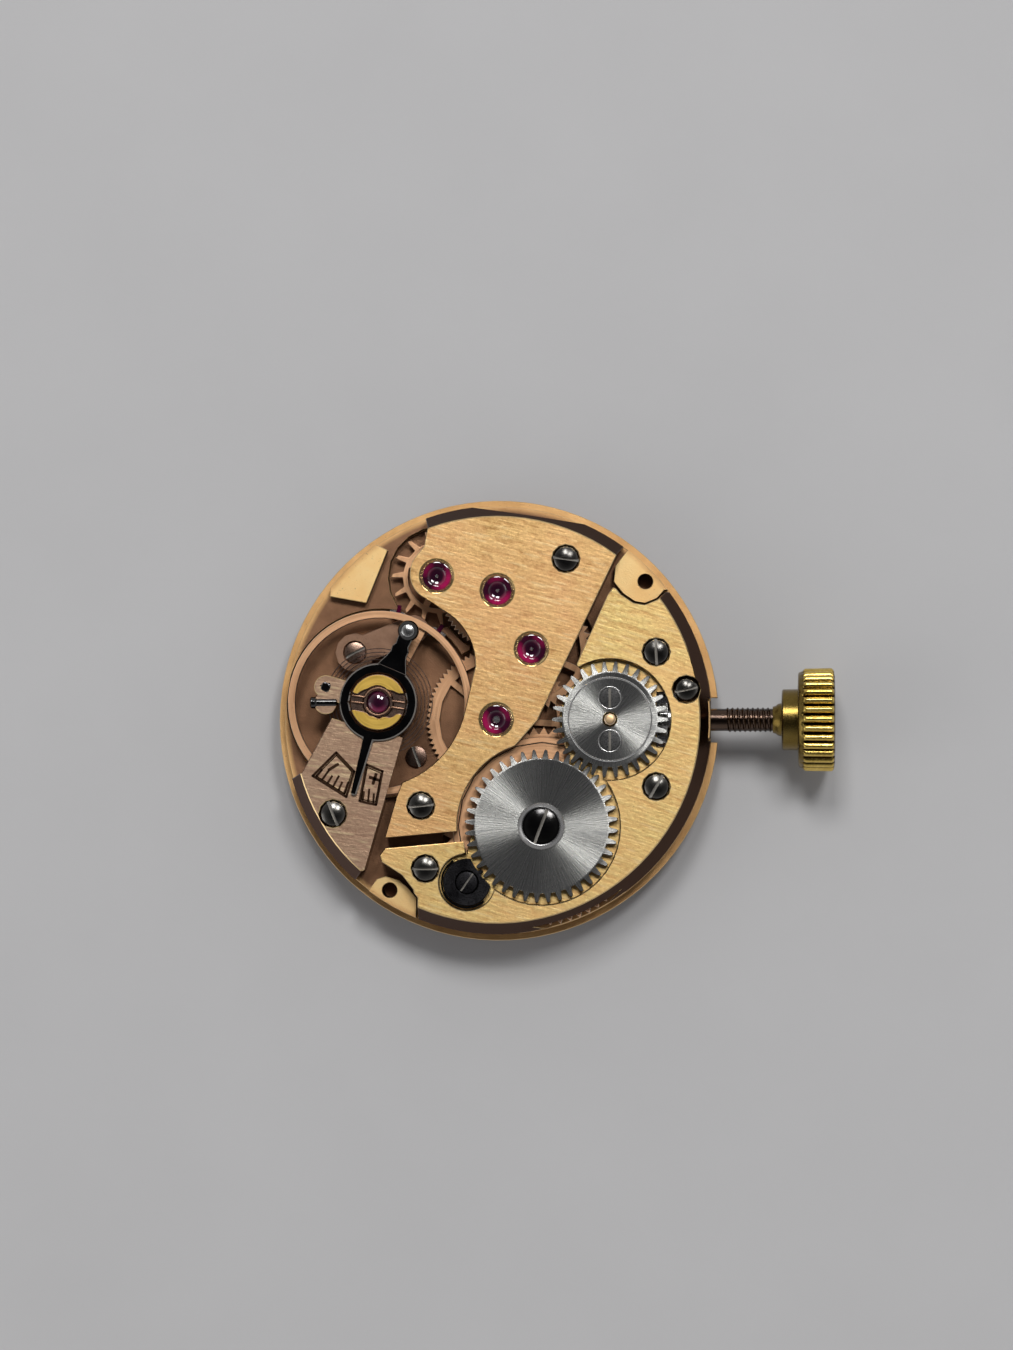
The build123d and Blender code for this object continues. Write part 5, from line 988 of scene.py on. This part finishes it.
def stud_side_screw():
    """The screw that comes into the stud from the side, lying along x."""
    screw = bmesh.new()
    left_end, aside, height, length = -7.369, 0.677, 2.12, 1.06
    turned(screw, (0.0, 0.0), [
        (0.0, 0.0), (0.17, 0.0), (0.23, 0.04), (0.235, 0.20), (0.20, 0.25), (0.19, 0.26),
        (0.19, length - 0.04), (0.15, length), (0.0, length),
    ], 32)
    for vertex in screw.verts:
        x, y, z = vertex.co
        vertex.co = (left_end + z, aside + x, height + y)
    piece("stud_side_screw", screw, "plate", [finish["black_steel"]], sharp=40,
          replaces=("stud_screw",))


def engraved_line(mesh, first, second, width):
    """A straight engraved line whose ends overlap at a corner."""
    middle = ((first[0] + second[0]) / 2, (first[1] + second[1]) / 2)
    length = math.dist(first, second)
    turn = math.degrees(math.atan2(second[1] - first[1], second[0] - first[0]))
    outline = bar(middle, length + width * 0.6, width, turn)
    slab(mesh, outline, BRIDGE_TOP - 0.01, BRIDGE_TOP + 0.006)


def toward(start, stop, share):
    """The point at a share of the way from start to stop."""
    return [first + (last - first) * share for first, last in zip(start, stop)]


def regulator_scale():
    """The engraved scale on both sides of the regulator's tail: frames, ticks, plus, minus."""
    frame_width, glint_width, tick_width, sign_width = 0.10, 0.045, 0.085, 0.12
    glint_inset, tick_start, short_tick, long_tick = 0.13, 0.07, 0.40, 0.54
    dark, light = bmesh.new(), bmesh.new()
    left = [(-6.33, -1.30), (-7.26, -2.22), (-5.93, -3.05), (-5.62, -2.05)]
    right = [(-5.12, -1.78), (-4.50, -2.04), (-4.75, -3.36), (-5.40, -3.22)]
    for corners in (left, right):
        middle = [sum(corner[axis] for corner in corners) / 4 for axis in (0, 1)]
        for first, second in zip(corners, corners[1:] + corners[:1]):
            engraved_line(dark, first, second, frame_width)
            # Painted highlight: thin polished lines inside the frames stand for glints on their
            # edges.
            inner = [toward(corner, middle, glint_inset) for corner in (first, second)]
            engraved_line(light, *inner, glint_width)
    for first, last, ticks in ((left[1], left[2], 6), (right[3], right[2], 3)):
        for number in range(ticks):
            foot = toward(first, last, (number + 0.5) / ticks)
            distance = math.dist(foot, BALANCE)
            reach = long_tick if number % 2 else short_tick
            start = toward(foot, BALANCE, tick_start / distance)
            stop = toward(foot, BALANCE, reach / distance)
            engraved_line(dark, start, stop, tick_width)
    minus = ((-6.62, -1.98), (-6.26, -1.76))
    plus = (((-5.00, -2.28), (-4.62, -2.40)), ((-4.87, -2.53), (-4.75, -2.15)))
    for first, second in (minus, *plus):
        engraved_line(dark, first, second, sign_width)
    piece("scale_engraving", dark, "plate", [finish["engraving"]])
    piece("scale_glints", light, "plate", [finish["polished_gilding"]])


regulator_boot()
regulator_arm()
hairspring_stud()
stud_side_screw()
regulator_scale()


# Wound springs


def ribbon(name, body, node, middle, inner, outer, thickness, low, high, start):
    """A fine coiled spring: an upright ribbon on an even spiral."""
    turns, steps_a_turn = 12, 72
    coil = bmesh.new()
    steps = turns * steps_a_turn
    half = thickness / 2
    corners = ((-half, low), (half, low), (half, high), (-half, high))
    rows = []
    for step in range(steps + 1):
        angle = math.radians(start) + math.tau * turns * step / steps
        radius = inner + (outer - inner) * step / steps
        rows.append([
            coil.verts.new((*at(middle, radius + side, angle), height)) for side, height in corners
        ])
    tube(coil, rows)
    piece(name, coil, body, [finish["spring_steel"]], sharp=40,
          replaces=(node,))


ribbon("fine_hairspring", "plate", "hairspring", BALANCE, inner=0.44, outer=2.17,
       thickness=0.03, low=1.66, high=1.80, start=163.6)
ribbon("fine_mainspring", "barrel", "mainspring", RATCHET, inner=0.78, outer=3.12,
       thickness=0.09, low=0.89, high=1.55, start=0)


# Crown and stem


def round_stem(name, rows, steps, shape, material, sharp, replaces=()):
    """A piece turned about the stem; shape gives the radius at a row and an angle."""
    mesh = bmesh.new()
    angles = [math.tau * step / steps for step in range(steps)]
    tube(mesh, [
        [mesh.verts.new((x, *at((0.0, STEM_HEIGHT), shape(x, angle), angle))) for angle in angles]
        for x in rows
    ])
    piece(name, mesh, "stem", [material], sharp, replaces)


def between(x, table):
    """Reads a table of (x, value) rows with straight lines between them."""
    for (start, first), (stop, last) in zip(table, table[1:]):
        if x <= stop:
            return first + (last - first) * (x - start) / (stop - start)
    return table[-1][1]


# The crown: radii along x before its flutes are cut, and how deep the flutes are there
CROWN_FLUTES = 32
CROWN_OUTLINE = [
    (10.89, 0.52), (11.02, 0.56), (11.08, 0.62), (11.23, 0.66), (11.25, 1.14), (11.30, 1.205),
    (11.80, 1.21), (11.87, 1.21), (11.89, 1.80), (11.93, 1.88), (12.06, 1.92), (12.10, 1.93),
    (13.26, 1.95), (13.31, 1.90), (13.345, 1.72), (13.35, 0.9),
]
CROWN_FLUTING = [
    (12.07, 0.0), (12.11, 0.55), (12.18, 1.0), (13.20, 1.0), (13.28, 0.6), (13.33, 0.0),
]
CROWN_NECK_ROWS = 12
CROWN_FLUTED_ROWS = [
    12.11, 12.14, 12.18, 12.24, 12.4, 12.7, 13.0, 13.14, 13.20, 13.24, 13.28, 13.31, 13.33, 13.345,
    13.35,
]


def crown_radius(x, angle):
    """Rounded ridges that stand proud of the outline, with flutes cut into it between them."""
    base = between(x, CROWN_OUTLINE)
    if x < CROWN_FLUTING[0][0]:
        return base
    lobe = abs(math.cos(CROWN_FLUTES * angle / 2)) ** 0.7
    ridge, flute = 0.09, 0.13
    return base + between(x, CROWN_FLUTING) * (ridge * lobe - flute * (1 - lobe))


crown_rows = [x for x, _ in CROWN_OUTLINE[:CROWN_NECK_ROWS]] + CROWN_FLUTED_ROWS
round_stem("fluted_crown", crown_rows, CROWN_FLUTES * 10, crown_radius, crown_gold,
           sharp=50, replaces=("crown",))

# The thread of the stem, with eight rows to each turn
THREAD_START, THREAD_END, THREAD_PITCH, THREAD_ROWS = 8.95, 10.95, 0.2, 81
THREAD_CORE, THREAD_DEPTH, THREAD_RUNOUT = 0.41, 0.085, 0.15


def thread_radius(x, angle):
    """One thread that winds round the stem and runs out at both ends."""
    turn = (x / THREAD_PITCH - angle / math.tau) % 1.0
    ridge = 1 - abs(2 * turn - 1)
    ends = min(1.0, (x - THREAD_START) / THREAD_RUNOUT, (THREAD_END - x) / THREAD_RUNOUT)
    return THREAD_CORE + THREAD_DEPTH * max(0.0, ends) * ridge


thread_rows = [THREAD_START + THREAD_PITCH / 8 * step for step in range(THREAD_ROWS)]
round_stem("stem_thread", thread_rows, 40, thread_radius, finish["stem_steel"],
           sharp=60)


# Crown wheel and ratchet wheel


def core_pin():
    """The brass pin in the middle of the crown wheel's core."""
    pin = bmesh.new()
    profile = [(0.0, 2.30), (0.22, 2.30), (0.22, 2.36)] + dome(0.205, 2.365, 2.40, 5)
    turned(pin, CROWN_WHEEL, profile, 32)
    brass = ringed_brass("pin_brass", CROWN_WHEEL, light=(1.0, 0.72, 0.42),
                         dark=(0.90, 0.60, 0.32))
    piece("core_gold_pin", pin, "plate", [brass])


def core_rims():
    """The bright rims round the core's two screws and along its edge."""
    rims = bmesh.new()
    for aside in CORE_SCREW_OFFSETS:
        turned(rims, (CROWN_WHEEL[0], aside), [
            (0.415, 2.33), (0.415, 2.350), (0.425, 2.356), (0.445, 2.356), (0.455, 2.35),
            (0.455, 2.33), (0.415, 2.33),
        ], 40)
    turned(rims, CROWN_WHEEL, [
        (1.60, 2.33), (1.605, 2.355), (1.625, 2.372), (1.655, 2.372), (1.675, 2.355),
        (1.68, 2.30), (1.60, 2.30),
    ], 96)
    piece("core_screw_rims", rims, "plate", [finish["bright_steel"]], sharp=40)


def winding_wheel(name, body, node, middle, material, teeth, start, hub, root, tip, slope):
    """A winding wheel with rounded teeth whose tops slope down to their tips."""
    samples_a_tooth = 14
    # Shares of a tooth's pitch: half its flat tip, and its flank
    flat, flank = 0.11, 0.20
    low, high = WHEEL_BOTTOM, WHEEL_TOP
    mesh = bmesh.new()
    columns = []
    for number in range(teeth * samples_a_tooth):
        share = number / samples_a_tooth
        away = abs(share - round(share))
        lift = 1 - min(1.0, max(0.0, (away - flat) / flank))
        lift = lift * lift * (3 - 2 * lift) - 0.10 * min(1.0, away / flat) ** 2
        radius = root + (tip - root) * max(0.0, lift)
        drop = slope * (radius - root) / (tip - root)
        angle = math.radians(start) + math.tau * share / teeth
        shape = [
            (hub, low), (hub, high), (hub + 0.03, high), (root - 0.09, high), (root - 0.05, high),
            (root - 0.02, high - 0.006), (radius - 0.02, high - drop - 0.006),
            (radius, high - drop - 0.04), (radius, low + 0.02), (radius - 0.02, low),
        ]
        columns.append([mesh.verts.new((*at(middle, out, angle), height)) for out, height in shape])
    for first, second in zip(columns, columns[1:] + columns[:1]):
        bridged(mesh, first, second)
    piece(name, mesh, body, [material], sharp=36, replaces=(node,))


core_pin()
core_rims()
winding_wheel(
    "rounded_crown_wheel", "crown_wheel", "crown_wheel", CROWN_WHEEL,
    sunray_steel("crown_wheel_steel", CROWN_WHEEL),
    teeth=30, start=0.0, hub=1.39, root=1.90, tip=2.31, slope=0.035,
)
winding_wheel(
    "rounded_ratchet_wheel", "ratchet", "ratchet_wheel", RATCHET,
    sunray_steel("ratchet_steel", RATCHET),
    teeth=40, start=5.51, hub=0.537, root=2.68, tip=3.03, slope=0.02,
)


# Finishes of the CAD pieces


def dress(material, nodes, edge=0.0):
    """Gives CAD pieces their material and, where told, edges broken so that they catch light."""
    for node in nodes:
        shown = frame["nodes"][node]
        shown.data.materials.clear()
        shown.data.materials.append(material)
        if edge:
            shown.modifiers.new("join_edges", "WELD").merge_threshold = 0.6 * edge * MM
            break_edges(shown, width=edge, segments=1, name="broken_edges", angle=40)


dress(gilt_bridge, ["train_bridge"], 0.03)
dress(gilt_barrel, ["barrel_bridge"], 0.03)
dress(gilt_cock, ["balance_cock"], 0.03)
dress(gilt_plate, ["mainplate"], 0.02)
dress(finish["lower_gilding"], ["pallet_cock"], 0.02)
dress(sunray_steel("core_steel", CROWN_WHEEL), ["crown_wheel_core"], 0.02)
dress(finish["click_steel"], ["click"], 0.04)
dress(regulator_steel, ["regulator"], 0.05)
dress(finish["stem_steel"], ["winding_stem"])
dress(finish["black_steel"], ["click_spring"], 0.01)
dress(finish["yellow_gold"], ["lower_shock_block"], 0.012)
dress(finish["bright_steel"], [
    "barrel_arbor", "center_arbor", "third_pinion", "fourth_pinion", "escape_pinion",
    "cannon_pinion", "winding_pinion", "clutch_wheel", "setting_wheel", "pallet_fork",
    "pallet_arbor", "balance_staff", "roller", "setting_lever", "setting_jumper", "yoke",
    "yoke_spring",
], 0.01)
dress(plate_ruby, ["plate_jewels", "impulse_jewel", "pallet_stones"])

BRASS_PIECES = {
    "center_wheel": CENTER, "third_wheel": THIRD, "fourth_wheel": FOURTH, "escape_wheel": ESCAPE,
    "balance_wheel": BALANCE, "barrel_drum": RATCHET, "barrel_cover": RATCHET,
    "hour_wheel": CENTER, "minute_wheel": MINUTE_WHEEL, "hairspring_collet": BALANCE,
}
for node, middle in BRASS_PIECES.items():
    dress(ringed_brass(f"{node}_brass", middle), [node], 0.012)


# Floor, light and camera


def paper_floor():
    """The pale paper that the movement lies on."""
    paper = bmesh.new()
    bmesh.ops.create_grid(paper, x_segments=4, y_segments=4, size=0.6)
    for vertex in paper.verts:
        vertex.co.z = FLOOR * MM
    material, tree, shader = new_material("paper")
    years = use(tree, age, {"Size": 0.12})
    color = blend(tree, years["Cloud"], tone(0.555, 0.55, 0.553), tone(0.57, 0.565, 0.568))
    roughness = graded(tree, years["Grain"], 0.75, 0.9)
    finish_shader(tree, shader, color, roughness, years["Grain"], 0.05, metallic=0.0)
    floor = formed("paper", paper, [material])


def box_light(name, azimuth, tilt, distance, size, power):
    """A soft box at a distance in meters that points at the middle of the movement."""
    data = bpy.data.lights.new(name, "AREA")
    data.shape = "RECTANGLE"
    data.size, data.size_y = size
    data.energy = power
    made = placed(name, data)
    lean = math.radians(tilt)
    outward = Vector((*around((0.0, 0.0), math.sin(lean), azimuth), math.cos(lean)))
    made.location = outward * distance
    made.rotation_mode = "QUATERNION"
    made.rotation_quaternion = (-made.location).to_track_quat("-Z", "Y")


def room():
    """A plain room, brightest at eye level and dark overhead; the camera sees it pale."""
    world = bpy.data.worlds.new("room")
    bpy.context.scene.world = world
    world.use_nodes = True
    tree = world.node_tree
    up = split(tree, put(tree, "ShaderNodeTexCoord").outputs["Generated"])[2]
    ramp = put(tree, "ShaderNodeValToRGB", {"Fac": spread(tree, up, -1.0, 1.0)})
    below, overhead = ramp.color_ramp.elements
    below.position = 0.0
    below.color = tone(0.34, 0.34, 0.35)
    overhead.position = 1.0
    overhead.color = tone(0.03, 0.03, 0.035)
    for position, level in ((0.52, 0.46), (0.72, 0.42), (0.86, 0.22), (0.95, 0.05)):
        ramp.color_ramp.elements.new(position).color = tone(level, level, level * 1.02)
    seen = put(tree, "ShaderNodeLightPath").outputs["Is Camera Ray"]
    color = blend(tree, seen, ramp.outputs[0], tone(0.60, 0.60, 0.61))
    tree.links.new(color, tree.nodes["Background"].inputs["Color"])


def photo_camera():
    """The camera of the photograph: nearly straight down, with the crown to the right."""
    data = bpy.data.cameras.new("camera")
    camera = placed("camera", data)
    bpy.context.scene.camera = camera
    distance, seen_height, sensor = 0.2, 53.25 * MM, 36.0
    data.sensor_width = sensor
    data.lens = sensor * distance / seen_height
    data.clip_start, data.clip_end = 0.01, 10.0
    azimuth, elevation = math.radians(63), math.radians(86.5)
    level = math.cos(elevation)
    back = Vector((math.sin(azimuth) * level, -math.cos(azimuth) * level, math.sin(elevation)))
    aim = Vector((0.406, 1.755, 2.25)) * MM
    camera.location = aim + back * distance
    right = Vector((0.0, 1.0, 0.0)).cross(back).normalized()
    upward = back.cross(right).normalized()
    camera.rotation_mode = "QUATERNION"
    camera.rotation_quaternion = Matrix((right, upward, back)).transposed().to_quaternion()


bpy.context.scene.view_settings.view_transform = "Standard"
paper_floor()
box_light("window_left", azimuth=96, tilt=33, distance=0.5, size=(0.10, 0.13), power=0.80)
box_light("window_right", azimuth=58, tilt=30, distance=0.5, size=(0.09, 0.12), power=0.70)
box_light("side_fill", azimuth=200, tilt=62, distance=0.6, size=(0.35, 0.35), power=0.35)
room()
photo_camera()
